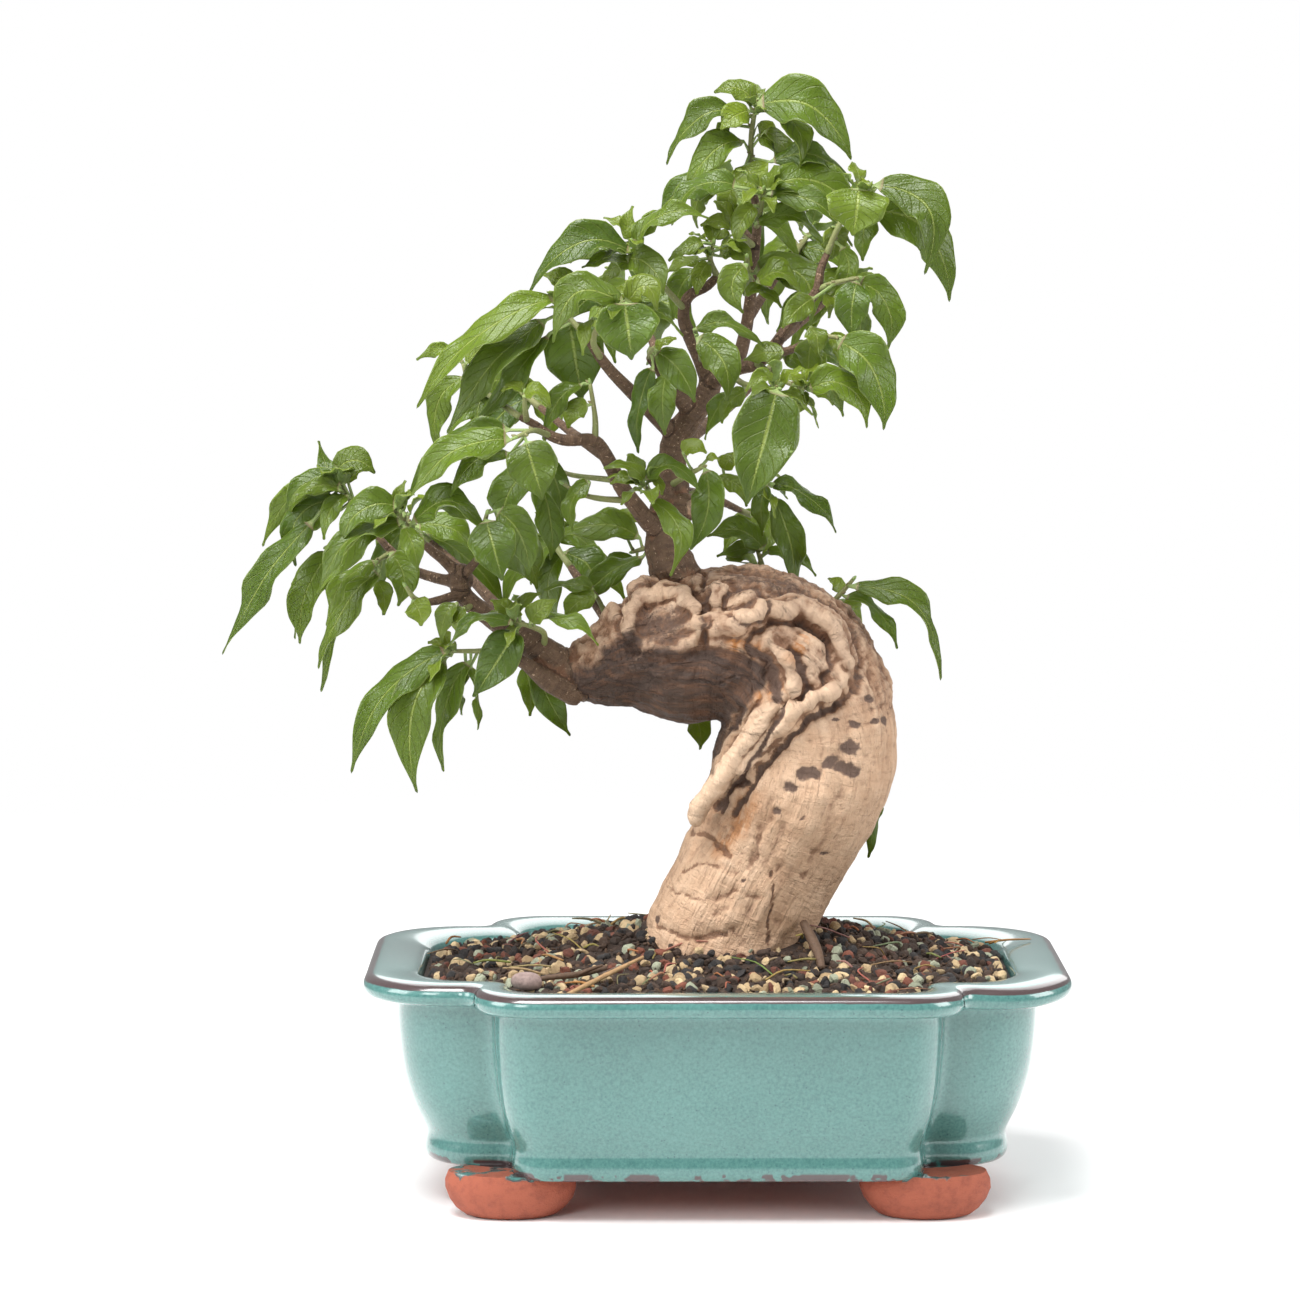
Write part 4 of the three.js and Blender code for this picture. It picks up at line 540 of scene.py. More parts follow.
def relief(places: np.ndarray, size: float, octaves: int = 1, shift: float = 0.0) -> np.ndarray:
    """Random hills and hollows from about -1 to 1.

    Args:
        places: one row of x, y, z for each place, in millimetres.
        size: the width of a hill, in millimetres.
        octaves: how many finer layers are added.
        shift: moves the pattern, so that two uses of it differ.

    Returns:
        One height for each place.
    """
    scaled = places / size + shift
    return np.array([noise.fractal(Vector(place), 1.0, 2.0, octaves) for place in scaled])


def numbers(
    items: bpy.types.bpy_prop_collection, name: str, width: int, kind: type = float
) -> np.ndarray:
    """Read a row of numbers from each item of a mesh.

    Args:
        items: the points, edges or corners.
        name: what is read.
        width: how many numbers each has.
        kind: the numbers' type.

    Returns:
        One row for each item.
    """
    values = np.zeros(len(items) * width, kind)
    items.foreach_get(name, values)
    return values.reshape(-1, width)


def finder(places: list[Vector]) -> kdtree.KDTree:
    """A tree that finds the nearest of some places."""
    tree = kdtree.KDTree(len(places))
    for i, place in enumerate(places):
        tree.insert(place, i)
    tree.balance()
    return tree


def drawer(seed: int) -> Callable[[], float]:
    """A repeatable draw between 0 and 1, the same as the one that placed the far shoots' leaves.

    Args:
        seed: the start of the row of draws.

    Returns:
        A function that gives the next draw.
    """
    state = seed & 0xFFFFFFFF

    def draw() -> float:
        """The next draw."""
        nonlocal state
        state = (state + 0x6D2B79F5) & 0xFFFFFFFF
        mixed = ((state ^ (state >> 15)) * (state | 1)) & 0xFFFFFFFF
        mixed ^= (mixed + (((mixed ^ (mixed >> 7)) * (mixed | 61)) & 0xFFFFFFFF)) & 0xFFFFFFFF
        return ((mixed ^ (mixed >> 14)) & 0xFFFFFFFF) / 4294967296

    return draw


class Link:
    """A node's output that takes part in sums: each sum adds one Math node."""

    def __init__(self, tree: "Tree", socket: bpy.types.NodeSocket) -> None:
        """Keep the output and the tree that it belongs to."""
        self.tree = tree
        self.socket = socket

    def math(self, operation: str, *values: "Link | float", clamp: bool = False) -> "Link":
        """Add a Math node.

        Args:
            operation: what the node does, in Blender's own word.
            values: its inputs in order.
            clamp: whether the result is kept from 0 to 1.

        Returns:
            The result.
        """
        settings = {"operation": operation, "use_clamp": clamp}
        return self.tree.link("ShaderNodeMath", settings, dict(enumerate(values)))

    def __add__(self, other: "Link | float") -> "Link":
        """self + other."""
        return self.math("ADD", self, other)

    __radd__ = __add__

    def __sub__(self, other: "Link | float") -> "Link":
        """self - other."""
        return self.math("SUBTRACT", self, other)

    def __rsub__(self, other: "Link | float") -> "Link":
        """other - self."""
        return self.math("SUBTRACT", other, self)

    def __mul__(self, other: "Link | float") -> "Link":
        """self * other."""
        return self.math("MULTIPLY", self, other)

    __rmul__ = __mul__

    def size(self) -> "Link":
        """The value without its sign."""
        return self.math("ABSOLUTE", self)

    def fraction(self) -> "Link":
        """What the value has past its whole number."""
        return self.math("FRACT", self)

    def clip(self) -> "Link":
        """The value kept from 0 to 1."""
        return self.math("ADD", self, 0.0, clamp=True)

    def rise(self, low: float, high: float) -> "Link":
        """A soft step: 0 at low and 1 at high."""
        settings = {"interpolation_type": "SMOOTHSTEP"}
        sockets = {"Value": self, "From Min": low, "From Max": high}
        return self.tree.link("ShaderNodeMapRange", settings, sockets)


class Tree:
    """A node tree, filled by calls that add one node each."""

    def __init__(self, tree: bpy.types.NodeTree) -> None:
        """Keep the tree."""
        self.tree = tree

    def node(self, kind: str, settings: dict | None = None, sockets: dict | None = None) -> bpy.types.Node:
        """Add any node.

        Args:
            kind: the node's type.
            settings: its own settings, set first.
            sockets: its inputs by name or number, as links or plain values.

        Returns:
            The node.
        """
        node = self.tree.nodes.new(kind)
        for name, value in (settings or {}).items():
            setattr(node, name, value)
        for key, value in (sockets or {}).items():
            if isinstance(value, Link):
                self.tree.links.new(value.socket, node.inputs[key])
            else:
                node.inputs[key].default_value = value
        return node

    def link(
        self, kind: str, settings: dict | None = None, sockets: dict | None = None, output: int | str = 0
    ) -> Link:
        """Add any node and give one of its outputs."""
        return Link(self, self.node(kind, settings, sockets).outputs[output])


# The Mix node's inputs for colours and its output, by number because their names repeat
MIX_SHARE, MIX_FIRST, MIX_SECOND, MIX_COLOUR = 0, 6, 7, 2


class Paint(Tree):
    """A material's node tree with the patterns that the finishes share."""

    def __init__(self, name: str) -> None:
        """Start an empty material of that name."""
        self.material = bpy.data.materials.new(name)
        self.material.use_nodes = True
        super().__init__(self.material.node_tree)
        self.tree.nodes.clear()
        self.place = self.link("ShaderNodeTexCoord", output="Object")

    def mix(
        self, share: Link | float, first: Link | Colour, second: Link | Colour, blend: str = "MIX"
    ) -> Link:
        """Mix two colours: share 0 gives the first and 1 the second."""
        settings = {"data_type": "RGBA", "blend_type": blend}
        sockets = {MIX_SHARE: share, MIX_FIRST: first, MIX_SECOND: second}
        return self.link("ShaderNodeMix", settings, sockets, MIX_COLOUR)

    def cloud(
        self, size_mm: float, detail: float = 3.0, roughness: float = 0.55, at: Link | None = None,
        twist: float = 0.0,
    ) -> Link:
        """A noise pattern from 0 to 1 whose patches are about size_mm wide."""
        sockets = {
            "Vector": at or self.place, "Scale": 1 / (size_mm * MM), "Detail": detail, "Roughness": roughness,
            "Distortion": twist,
        }
        return self.link("ShaderNodeTexNoise", None, sockets, output="Fac")

    def cells(self, size_mm: float, feature: str = "F1", at: Link | None = None) -> Link:
        """A pattern of cells about size_mm wide."""
        sockets = {"Vector": at or self.place, "Scale": 1 / (size_mm * MM)}
        return self.link("ShaderNodeTexVoronoi", {"feature": feature}, sockets, output="Distance")

    def stretched(self, at: Link, scale: tuple[float, float, float]) -> Link:
        """The same coordinates, stretched along each axis."""
        return self.link("ShaderNodeVectorMath", {"operation": "MULTIPLY"}, {0: at, 1: scale})

    def parts(self, name: str) -> tuple[Link, Link, Link]:
        """The three parts of an attribute of the mesh."""
        vector = self.link("ShaderNodeAttribute", {"attribute_name": name}, output="Vector")
        node = self.node("ShaderNodeSeparateXYZ", None, {0: vector})
        return tuple(Link(self, socket) for socket in node.outputs)

    def bump(self, height: Link, depth_mm: float, strength: float = 1.0, under: Link | None = None) -> Link:
        """Turn heights from 0 to 1 into a bent normal."""
        sockets = {"Height": height, "Distance": depth_mm * MM, "Strength": strength}
        if under:
            sockets["Normal"] = under
        return self.link("ShaderNodeBump", None, sockets)

    def principled(self, sockets: dict) -> Link:
        """The main shader with the given inputs."""
        return self.link("ShaderNodeBsdfPrincipled", None, sockets)

    def finish(self, shader: Link) -> bpy.types.Material:
        """Join the shader to the output and give the material."""
        self.node("ShaderNodeOutputMaterial", None, {"Surface": shader})
        return self.material


@dataclass
class Shape:
    """A mesh in the making: its points in millimetres, its faces, and a material number for each face."""

    points: list[np.ndarray] = field(default_factory=list)
    faces: list[tuple[int, ...]] = field(default_factory=list)
    slots: list[int] = field(default_factory=list)
    traits: list[tuple[float, float, float]] = field(default_factory=list)
    flat: list[tuple[float, float]] = field(default_factory=list)

    def loft(
        self, rings: np.ndarray, traits: np.ndarray | None = None, flat: np.ndarray | None = None,
        slots: list[int] | None = None, ends: tuple[np.ndarray, np.ndarray] | None = None,
    ) -> None:
        """Add a closed skin over rings.

        Args:
            rings: the rings' points, as an array of rings by points by 3.
            traits: three numbers for each point of each ring.
            flat: the two texture coordinates of each point of each ring.
            slots: the material number of each band between two rings.
            ends: the places of the two end points, or None for the middles of the end rings.
        """
        count, around = rings.shape[:2]
        first, last = ends or (rings[0].mean(0), rings[-1].mean(0))
        inward = np.cross(rings[0][0] - first, rings[0][1] - first) @ (rings[1].mean(0) - rings[0].mean(0))
        start = len(self.points)
        self.points.extend([*rings.reshape(-1, 3), first, last])
        traits = np.zeros((count, around, 3)) if traits is None else traits
        flat = np.zeros((count, around, 2)) if flat is None else flat
        for kept, rows in ((self.traits, traits), (self.flat, flat)):
            poles = (rows[0].mean(0), rows[-1].mean(0))
            kept.extend(map(tuple, [*rows.reshape(-1, rows.shape[2]), *poles]))
        slots = slots or [0] * (count - 1)
        low_pole = start + count * around
        for i in range(around):
            following = (i + 1) % around
            bands = [(low_pole, start + following, start + i)]
            for ring in range(count - 1):
                low = start + ring * around
                high = low + around
                bands.append((low + i, low + following, high + following, high + i))
            end = start + (count - 1) * around
            bands.append((end + i, end + following, low_pole + 1))
            if inward < 0:
                bands = [band[::-1] for band in bands]
            self.faces.extend(bands)
            self.slots.extend([slots[0], *slots, slots[-1]])

    def tube(
        self, stops: np.ndarray, sides: int = 10, steps: int = 3, slot: int = 0,
        trait: tuple[float, float, float] = (0.0, 0.0, 0.0), rough: float = 0.0,
    ) -> None:
        """Add a round limb along a smooth line.

        Args:
            stops: rows of x, y, z and radius.
            sides: points in a section.
            steps: sections from one stop to the next.
            slot: its material number.
            trait: the three numbers that each point gets.
            rough: how far the radius wanders, as a share.
        """
        line = soft_path(stops, steps)
        line[:, 3] *= 1 + rough * relief(line[:, :3], 3.0)
        along = unit(np.gradient(line[:, :3], axis=0))
        side = unit(np.cross(along[0], np.array((0.3, 0.9, 0.2))))
        turn = circle_turns(sides)
        rings = []
        for way, (x, y, z, radius) in zip(along, line):
            side = unit(side - (side @ way) * way)
            other = np.cross(way, side)
            circle = np.outer(np.cos(turn), side) + np.outer(np.sin(turn), other)
            rings.append(np.array((x, y, z)) + radius * circle)
        rings = np.array(rings)
        ends = (
            rings[0].mean(0) - along[0] * 0.4 * line[0, 3],
            rings[-1].mean(0) + along[-1] * 0.6 * line[-1, 3],
        )
        traits = np.broadcast_to(np.array(trait), (*rings.shape[:2], 3))
        flat = np.zeros((*rings.shape[:2], 2))
        flat[..., 0] = turn / (2 * math.pi)
        flat[..., 1] = np.linspace(0, 1, len(rings))[:, None]
        self.loft(rings, traits, flat, [slot] * (len(rings) - 1), ends)

    def to_object(self, name: str, materials: list[bpy.types.Material]) -> bpy.types.Object:
        """Make the object, with its place in its mesh.

        Args:
            name: the piece's name.
            materials: what the material numbers stand for.

        Returns:
            The new object.
        """
        mesh = bpy.data.meshes.new(name)
        places = np.array(self.points) * MM + ORIGIN
        mesh.from_pydata(places.tolist(), [], self.faces)
        mesh.polygons.foreach_set("material_index", self.slots)
        mesh.polygons.foreach_set("use_smooth", [True] * len(self.faces))
        if any(map(any, self.traits)):
            values = mesh.attributes.new("trait", "FLOAT_VECTOR", "POINT")
            values.data.foreach_set("vector", np.array(self.traits, np.float32).ravel())
        if any(map(any, self.flat)):
            corners = numbers(mesh.loops, "vertex_index", 1, np.int32).ravel()
            layer = mesh.uv_layers.new(name="along")
            layer.data.foreach_set("uv", np.array(self.flat, np.float32)[corners].ravel())
        for material in materials:
            mesh.materials.append(material)
        piece = bpy.data.objects.new(name, mesh)
        bpy.context.scene.collection.objects.link(piece)
        return piece


def settle(piece: bpy.types.Object, slot: str, *nodes: str) -> bpy.types.Object:
    """Let a finished piece ride on the object and stand for its nodes.

    Args:
        piece: the finished piece.
        slot: not used.
        nodes: the solids that it stands for.

    Returns:
        The piece.
    """
    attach(piece, "root")
    if nodes:
        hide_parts(*nodes)
    faces = sum(len(face.vertices) - 2 for face in piece.data.polygons)
    LOG.info("%s: %d triangles", piece.name, faces)
    return piece


@dataclass(frozen=True)
class Glaze:
    """Glossy turquoise glaze that breaks to dark brown on edges, over bare red clay."""

    pale: Colour = (0.1, 0.25, 0.225, 1.0)
    deep: Colour = (0.034, 0.125, 0.115, 1.0)
    fleck: Colour = (0.022, 0.075, 0.075, 1.0)
    thin: Colour = (0.06, 0.028, 0.03, 1.0)
    clay: Colour = (0.33, 0.085, 0.045, 1.0)
    clay_dark: Colour = (0.16, 0.035, 0.022, 1.0)

    def material(self) -> bpy.types.Material:
        """Build the material. The mesh's trait holds bare clay, lip edge and base band."""
        paint = Paint("glaze")
        bare, lip, band = paint.parts("trait")
        mottle = paint.cloud(0.9, 4.0, 0.65)
        drift = paint.cloud(26.0, 2.0)
        body = paint.mix((mottle * 1.7 + drift * 0.5 - 0.62).clip(), self.deep, self.pale)
        specks = (1 - paint.cells(1.7).rise(0.08, 0.2)) * paint.cloud(4.0, 1.0).rise(0.5, 0.62)
        body = paint.mix(specks * 0.75, body, self.fleck)
        patches = paint.cloud(9.0, 3.0, 0.6)
        edge = (lip * (patches * 1.3 + 0.55)).rise(0.38, 0.7)
        edge += (band * patches.rise(0.42, 0.55)).rise(0.2, 0.6)
        body = paint.mix(edge.clip() * 0.93, body, self.thin)
        clay = paint.mix(paint.cloud(3.0, 4.0, 0.7).rise(0.42, 0.7) * 0.5, self.clay, self.clay_dark)
        border = (bare + paint.cloud(5.0, 3.0) * 5.0 - 2.5)
        is_clay = border.rise(-0.2, 0.25)
        seam = border.rise(-1.1, -0.3) * (1 - is_clay)
        body = paint.mix(seam * 0.8, body, self.thin)
        colour = paint.mix(is_clay, body, clay)
        grain = paint.cloud(0.5, 3.0, 0.6) * is_clay
        skin = paint.bump(paint.cloud(1.4, 2.0), 0.05, 0.35)
        normal = paint.bump(grain, 0.4, 0.8, skin)
        step = paint.bump(1 - is_clay, 0.5, 0.9, normal)
        shader = paint.principled({
            "Base Color": colour, "Roughness": is_clay * 0.55 + mottle * 0.08 + 0.2, "Normal": step,
            "Coat Weight": 1 - is_clay, "Coat Roughness": 0.09, "Coat IOR": 1.45, "IOR": 1.5,
        })
        return paint.finish(shader)


@dataclass(frozen=True)
class Gauze:
    """Black woven plastic of the drainage mesh."""

    colour: Colour = (0.012, 0.012, 0.013, 1.0)

    def material(self) -> bpy.types.Material:
        """Build the material."""
        paint = Paint("gauze")
        weave = paint.cells(0.8, "DISTANCE_TO_EDGE").rise(0.05, 0.2)
        colour = paint.mix(weave, (0.03, 0.03, 0.032, 1.0), self.colour)
        shader = paint.principled({"Base Color": colour, "Roughness": 0.6, "Normal": paint.bump(weave, 0.2)})
        return paint.finish(shader)


# The trait of a surface that is bare clay throughout
BARE_CLAY = (4.0, 0.0, 0.0)
# A point's place and its trait
Known = tuple[Vector, tuple[float, float, float]]


@dataclass
class Pot:
    """The lobed pot with its rolled lip, base band, four feet and two drainage holes."""

    end: tuple[float, float, float] = (105.0, 57.0, 25.0)
    front: tuple[float, float, float] = (71.0, 77.0, 17.0)
    notch: float = 5.0
    foot_at: tuple[float, float] = (61.0, 45.0)
    foot_half: tuple[float, float] = (19.5, 12.0)
    drain_x: float = 36.0
    drain_radius: float = 8.0
    # Inset and height up the outside, over the lip and down to the floor
    profile: tuple[tuple[float, float], ...] = (
        (20.5, 12.5), (18.9, 12.8), (17.9, 14.2), (17.6, 16.4), (18.0, 18.8), (18.2, 20.8), (17.2, 23.4),
        (15.3, 27.5), (13.3, 33.0), (11.5, 40.0), (10.5, 47.0), (9.9, 54.0), (9.7, 59.5), (9.2, 62.4),
        (7.2, 63.7), (4.2, 63.7), (1.6, 64.0), (0.2, 65.4), (0.0, 67.2), (0.6, 68.9), (2.4, 70.0),
        (6.0, 70.3), (10.0, 70.0), (13.5, 69.4), (15.6, 68.4), (16.8, 66.4), (17.6, 62.0), (18.6, 54.0),
        (20.5, 38.0), (23.0, 28.0), (27.0, 19.0),
    )
    # Steps around an end corner, a notch and a front corner of the outline, and along a straight side
    arc_steps: tuple[int, int, int] = (12, 7, 10)
    side_steps: int = 12
    # Size and height up a foot
    foot_profile: tuple[tuple[float, float], ...] = (
        (0.5, 0), (0.58, 0.05), (0.7, 0.8), (0.82, 2.6), (0.93, 5.4), (0.99, 8.5), (0.985, 11), (0.93, 13.5),
    )

    def plan(self, inset: float) -> np.ndarray:
        """The lobed outline, drawn in by an inset, with a point every few millimetres."""
        end_x, end_y, end_r = self.end[0] - inset, self.end[1] - inset, self.end[2] - 0.3 * inset
        front_x, front_y = self.front[0] - 0.6 * inset, self.front[1] - inset
        front_r = self.front[2] - 0.3 * inset
        arcs = (
            (end_x - end_r, end_y - end_r, end_r, 0, 90),
            (front_x + self.notch, end_y + self.notch, self.notch, 270, 180),
            (front_x - front_r, front_y - front_r, front_r, 0, 90),
        )
        quarter = []
        for (x, y, radius, start, stop), steps in zip(arcs, self.arc_steps):
            turn = np.radians(np.linspace(start, stop, steps + 1))
            quarter.extend(np.column_stack((x + radius * np.cos(turn), y + radius * np.sin(turn))))
        quarter = np.array(quarter)
        half = np.vstack((quarter, (quarter * (-1, 1))[::-1]))
        ring = np.vstack((half, (half * (1, -1))[::-1]))
        following = np.roll(ring, -1, axis=0)
        return np.vstack([
            here + (there - here) * np.arange(count)[:, None] / count
            for here, there, count in zip(ring, following, self.counts)
        ])

    @property
    def counts(self) -> np.ndarray:
        """How many steps each gap of the outline is cut into: several along the fronts and the ends."""
        quarter = sum(steps + 1 for steps in self.arc_steps)
        counts = np.ones(4 * quarter, int)
        counts[quarter - 1::quarter] = self.side_steps
        return counts

    def body(self) -> bpy.types.Object:
        """The pot's walls as one lofted skin."""
        profile = soft_path(np.array(self.profile), 2)
        rings, traits = [], []
        for inset, z in profile:
            ring = self.plan(inset)
            sway = 0.5 * relief(np.column_stack((ring, np.full(len(ring), z))), 60.0)
            outward = unit(ring)
            corner = np.exp(-np.sum((ring - (88, -62)) ** 2, axis=1) / 500) * float(z > 62)
            height = z - 1.3 * corner + 0.4 * sway * float(z > 60)
            rings.append(np.column_stack((ring + outward * sway[:, None] * 0.5, height)))
            under = BARE_CLAY[0] if inset >= 20.4 and z < 13 else 11.6 - z
            lip = math.exp(-((z - 69.4) / 0.9) ** 2) * float(inset < 3.4)
            band = math.exp(-((z - 13.7) / 1.5) ** 2) * float(inset < 19) * float(z < 22)
            traits.append(np.broadcast_to((under, lip, band), (len(ring), 3)))
        shape = Shape()
        poles = (np.array((0, 0, 12.5)), np.array((0, 0, 19.0)))
        shape.loft(np.array(rings), np.array(traits), ends=poles)
        return shape.to_object("pot_body", [])

    def foot(self, sign_x: int, sign_y: int) -> bpy.types.Object:
        """One foot: a half-moon lump of clay, flat below."""
        turn = circle_turns(56)
        rings, traits = [], []
        for share, z in self.foot_profile:
            half_x, half_y = self.foot_half[0] * share, self.foot_half[1] * share
            x = sign_x * self.foot_at[0] + half_x * np.cos(turn)
            y = sign_y * self.foot_at[1] + half_y * np.sin(turn)
            ring = np.column_stack((x, y, np.full(len(turn), float(z))))
            lump = relief(ring, 7.0, 2) * min(z, 4) * 0.09
            out = unit(ring - (sign_x * self.foot_at[0], sign_y * self.foot_at[1], z))
            rings.append(ring + out * lump[:, None])
            drip = 2.4 * relief(ring * (1, 1, 0), 9.0, 2, shift=4.0)
            traits.append(np.column_stack((14.2 - ring[:, 2] + drip, 0 * drip, 0 * drip)))
        shape = Shape()
        shape.loft(np.array(rings), np.array(traits))
        return shape.to_object("pot_foot", [])

    def drain(self, sign_x: int) -> bpy.types.Object:
        """The round cutter of one drainage hole."""
        shape = Shape()
        turn = circle_turns(40)
        radius = self.drain_radius
        circle = np.column_stack((sign_x * self.drain_x + radius * np.cos(turn), radius * np.sin(turn)))
        rings = np.array([np.column_stack((circle, np.full(len(turn), z))) for z in (5.0, 15.0, 30.0)])
        shape.loft(rings, np.full(rings.shape, BARE_CLAY))
        return shape.to_object("pot_drain", [])

    @staticmethod
    def known_traits(pieces: list[bpy.types.Object]) -> list[Known]:
        """The places and traits of all points of some pieces."""
        known = []
        for piece in pieces:
            traits = piece.data.attributes["trait"].data
            points = piece.data.vertices
            known.extend((point.co.copy(), tuple(trait.vector)) for point, trait in zip(points, traits))
        return known

    @staticmethod
    def restore_traits(piece: bpy.types.Object, known: list[Known]) -> None:
        """Give each point the trait of the nearest known point, because a join loses them."""
        tree = finder([place for place, _ in known])
        layer = piece.data.attributes["trait"].data
        for vertex, trait in zip(piece.data.vertices, layer):
            trait.vector = known[tree.find(vertex.co)[1]][1]

    def build(self) -> bpy.types.Object:
        """Join the feet to the pot, cut the drainage holes and dress it.

        Returns:
            The finished pot.
        """
        pot = self.body()
        tools = [("UNION", self.foot(x, y)) for x in (-1, 1) for y in (-1, 1)]
        tools += [("DIFFERENCE", self.drain(x)) for x in (-1, 1)]
        known = self.known_traits([pot, *(tool for _, tool in tools)])
        for operation, tool in tools:
            cut = pot.modifiers.new(operation, "BOOLEAN")
            cut.operation, cut.object, cut.solver = operation, tool, "EXACT"
            plain_mesh(pot)
            bpy.data.objects.remove(tool)
        self.restore_traits(pot, known)
        pot.name = pot.data.name = "glazed_pot"
        pot.data.materials.clear()
        pot.data.materials.append(Glaze().material())
        pot.data.set_sharp_from_angle(angle=math.radians(50))
        return settle(pot, "glaze", "pot")


def plain_mesh(piece: bpy.types.Object) -> None:
    """Apply a piece's modifiers: its evaluated mesh becomes its own, and they are removed."""
    graph = bpy.context.evaluated_depsgraph_get()
    graph.update()
    mesh = bpy.data.meshes.new_from_object(
        piece.evaluated_get(graph), preserve_all_data_layers=True, depsgraph=graph
    )
    piece.modifiers.clear()
    piece.data = mesh


@dataclass(frozen=True)
class Grit:
    """One kind of grain in the soil: its two colours, its size and how many lie on a square centimetre."""

    name: str
    light: Colour
    dark: Colour
    size_mm: tuple[float, float]
    per_cm2: float
    fine: int = 1
    seed: int = 1

    def material(self) -> bpy.types.Material:
        """Build the material. Each grain has a tint of its own."""
        paint = Paint(self.name)
        tint = paint.link("ShaderNodeAttribute", {"attribute_name": "tint"}, output="Fac")
        grime = paint.cloud(1.3, 4.0, 0.7)
        colour = paint.mix((tint * 0.75 + grime * 0.6 - 0.15).clip(), self.dark, self.light)
        colour = paint.mix(paint.cloud(4.0).rise(0.55, 0.72) * 0.55, colour, (0.03, 0.018, 0.011, 1.0))
        pits = paint.cloud(0.6, 3.0, 0.7)
        shader = paint.principled({
            "Base Color": colour, "Roughness": grime * 0.2 + 0.72, "Normal": paint.bump(pits, 0.5, 0.8),
        })
        return paint.finish(shader)


PEAT = Grit("peat", (0.06, 0.033, 0.02, 1.0), (0.018, 0.011, 0.008, 1.0), (1.6, 4.4), 4.3, 1, 3)
CRUMBS = Grit("peat_crumbs", (0.12, 0.065, 0.035, 1.0), (0.02, 0.012, 0.009, 1.0), (0.7, 1.9), 14.0, 0, 5)
LAVA = Grit("lava", (0.2, 0.062, 0.034, 1.0), (0.055, 0.018, 0.012, 1.0), (2.2, 4.8), 0.8, 1, 7)
CINDER = Grit("cinder", (0.03, 0.026, 0.025, 1.0), (0.008, 0.007, 0.007, 1.0), (2.0, 5.2), 1.3, 1, 11)
CREAM = Grit("cream_pumice", (0.62, 0.47, 0.27, 1.0), (0.26, 0.17, 0.085, 1.0), (1.8, 5.0), 1.35, 1, 13)
SAGE = Grit("sage_stone", (0.36, 0.38, 0.27, 1.0), (0.15, 0.16, 0.11, 1.0), (2.0, 5.0), 0.7, 1, 17)
GRIT_KINDS = (PEAT, CRUMBS, LAVA, CINDER, CREAM, SAGE)


@dataclass(frozen=True)
class Litter:
    """Straw, twigs and roots: each carries its colour in its mesh."""

    def material(self) -> bpy.types.Material:
        """Build the material."""
        paint = Paint("litter")
        tint = paint.link("ShaderNodeAttribute", {"attribute_name": "trait"}, output="Vector")
        flecks = paint.cloud(1.2, 4.0, 0.7)
        colour = paint.mix(flecks * 0.85, tint, (0.05, 0.03, 0.018, 1.0), "MULTIPLY")
        shader = paint.principled({
            "Base Color": colour, "Roughness": flecks * 0.2 + 0.6, "Normal": paint.bump(flecks, 0.3),
        })
        return paint.finish(shader)


@dataclass(frozen=True)
class Peat:
    """Dark, crumbly peat between the grains."""

    light: Colour = (0.055, 0.03, 0.018, 1.0)
    dark: Colour = (0.01, 0.006, 0.005, 1.0)

    def material(self) -> bpy.types.Material:
        """Build the material."""
        paint = Paint("peat_bed")
        crumbs = paint.cells(1.4)
        clouds = paint.cloud(2.2, 5.0, 0.7)
        colour = paint.mix((clouds * 1.3 - 0.15).clip(), self.dark, self.light)
        height = paint.bump(crumbs * 0.6 + clouds, 1.2, 0.9)
        shader = paint.principled({"Base Color": colour, "Roughness": clouds * 0.1 + 0.85, "Normal": height})
        return paint.finish(shader)


